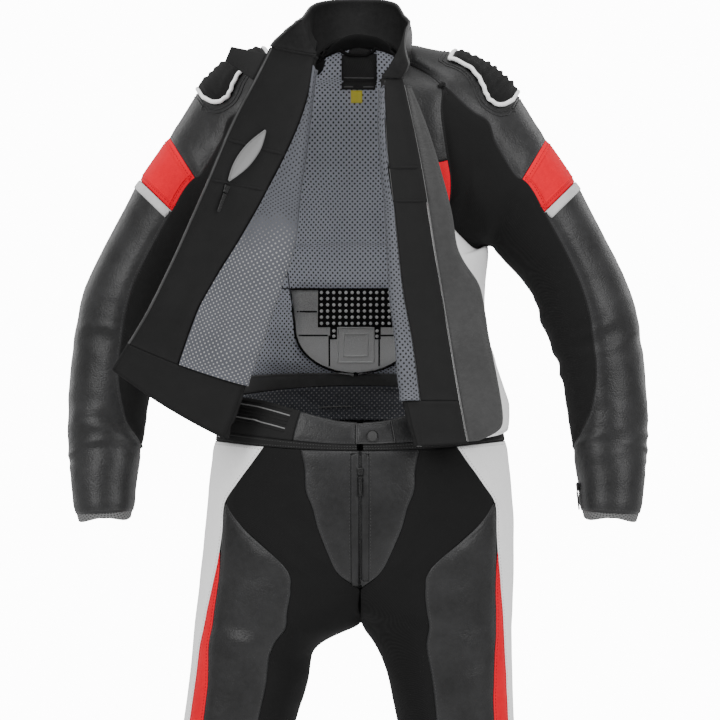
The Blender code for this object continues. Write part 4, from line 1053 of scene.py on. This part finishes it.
# the collar's edge cords are lighter: wear and a painted highlight
for number, edge in enumerate(rims("collar")):
    line = [spot.at for spot in edge]
    piping(f"collar_edge_{number}", "collar", line, 1.5, WORN_AND_LIT_EDGE, True)
collar_foot = stretch_of("collar", (61, -44, 5), (-61, -44, 5), (0, 70, 33))
line = [spot.at - spot.inward * 1.2 * MM - spot.out * 1.4 * MM for spot in collar_foot]
piping("collar_seam", "collar", line, 2.4, FACING)
pocket_mouth = rims("pocket_bag")[0]
piping("pocket_zip_edge", "pocket_bag", [spot.at for spot in pocket_mouth], 1.3, PALE_LINE, True)
neck = stretch_of("lining_back", (-74, 73, -10), (74, 73, -10), (0, 66, 26))
strip(
    "neck_tape", "lining_back", neck, (6, 3, 0, -8, -18), (0.5, 1.3, 1.6, 2.6, 3.0), 0.8, FACING,
    reach=0.0,
)
wing_top = stretch_of("facing_R", (-58, -98, -5), (-110, -137, 4), (-84, -112, 0))
line = [spot.at - spot.inward * 1.8 * MM for spot in wing_top]
piping("wing_seam", "facing_R", line, 2.3, FACING)

INSIDE = ["lining_back", "neck_label"]


def labelled(name, x0, x1, z0, z1, lift, material):
    """A small flat patch sewn inside the neck, given by its sides and its top and bottom."""
    half = (x1 - x0) / 2
    spots = laid_on(INSIDE, [((x0 + x1) / 2, z0), ((x0 + x1) / 2, z1)], step=3.0)
    insets = [half * part / 3 for part in range(-3, 4)]
    strip(name, "neck_label", spots, insets, (lift,) * 7, 0.5, material, on=INSIDE, reach=20.0)


labelled("label_patch", -24, 22, 14, -20, 0.9, LABEL)
labelled("label_line", -21, 18, -15.2, -16.4, 1.3, PALE_LINE)
labelled("size_strip", -24, 20, -22, -31, 0.9, LABEL)
labelled("size_dash_left", -21, -9, -26.5, -28, 1.3, PALE_LINE)
labelled("size_dash_right", 4, 18, -26.5, -28, 1.3, PALE_LINE)
labelled("yellow_tag", -12, 3, -32, -48, 1.0, YELLOW)
LOOP_ROUTE = [(-30, 24), (-24, 17), (-13, 12.5), (8, 12.5), (18, 18), (23, 24)]
strip(
    "hang_loop", "neck_label", laid_on(INSIDE, LOOP_ROUTE, step=3.0), (-2.4, 0, 2.4), (2.6, 3.2, 2.6), 0.8,
    FACING, on=INSIDE,
)
for hardware in ("slider_pocket", "pull_pocket"):
    plated(hardware, METAL)

# Photo set: a plain pale floor, soft light from both sides and above, and the camera in front.

STAND = -1.452
paving = bmesh.new()
bmesh.ops.create_grid(paving, x_segments=1, y_segments=1, size=5.0)
bmesh.ops.translate(paving, verts=paving.verts, vec=(0.0, 0.0, STAND))
floor_mesh = bpy.data.meshes.new("floor")
paving.to_mesh(floor_mesh)
floor = bpy.data.objects.new("floor", floor_mesh)
bpy.context.scene.collection.objects.link(floor)
pale = Finish("pale_floor", {"Roughness": 0.9, "Base Color": (0.85, 0.85, 0.85, 1.0)})
floor_mesh.materials.append(pale.material)

world = bpy.data.worlds.new("studio")
world.use_nodes = True
SKY_LIGHT, WHITE_SHEET = 0.8, 13.0
sky = world.node_tree.nodes["Background"]
sheet = world.node_tree.nodes.new("ShaderNodeBackground")
for shown, strength in ((sky, SKY_LIGHT), (sheet, WHITE_SHEET)):
    shown.inputs["Color"].default_value = (1.0, 1.0, 1.0, 1.0)
    shown.inputs["Strength"].default_value = strength
either = world.node_tree.nodes.new("ShaderNodeMixShader")
rays = world.node_tree.nodes.new("ShaderNodeLightPath")
world.node_tree.links.new(rays.outputs["Is Camera Ray"], either.inputs[0])
world.node_tree.links.new(sky.outputs[0], either.inputs[1])
world.node_tree.links.new(sheet.outputs[0], either.inputs[2])
world.node_tree.links.new(either.outputs[0], world.node_tree.nodes["World Output"].inputs["Surface"])
bpy.context.scene.world = world

Softbox = namedtuple("Softbox", "name x y z wide tall power")
SOFTBOXES = [
    Softbox("key_left", -2.2, -2.6, 1.5, 1.2, 2.0, 72), Softbox("key_right", 2.4, -2.4, 1.2, 1.2, 2.0, 60),
    Softbox("top", 0.0, -0.6, 2.6, 2.4, 1.6, 45), Softbox("rim_left", -2.0, 2.0, 0.6, 0.8, 2.4, 14),
    Softbox("rim_right", 2.0, 2.0, 0.6, 0.8, 2.4, 14),
]
MIDDLE = Vector((0.0, 0.0, -0.45))
for box in SOFTBOXES:
    lamp = bpy.data.lights.new(box.name, "AREA")
    lamp.shape, lamp.size, lamp.size_y, lamp.energy = "RECTANGLE", box.wide, box.tall, box.power
    light = bpy.data.objects.new(box.name, lamp)
    light.location = (box.x, box.y, box.z)
    light.rotation_mode = "QUATERNION"
    light.rotation_quaternion = (MIDDLE - light.location).to_track_quat("-Z", "Y")
    bpy.context.scene.collection.objects.link(light)

CAMERA_AWAY, CAMERA_LEVEL, VIEW_WIDTH, SENSOR = 5.0, -0.384, 0.9216, 36.0
camera = bpy.data.objects.new("camera", bpy.data.cameras.new("camera"))
camera.data.sensor_width = SENSOR
camera.data.lens = SENSOR * CAMERA_AWAY / VIEW_WIDTH
camera.location = (0.0, -CAMERA_AWAY, CAMERA_LEVEL)
camera.rotation_euler = (math.pi / 2, 0.0, 0.0)
bpy.context.scene.collection.objects.link(camera)
bpy.context.scene.camera = camera
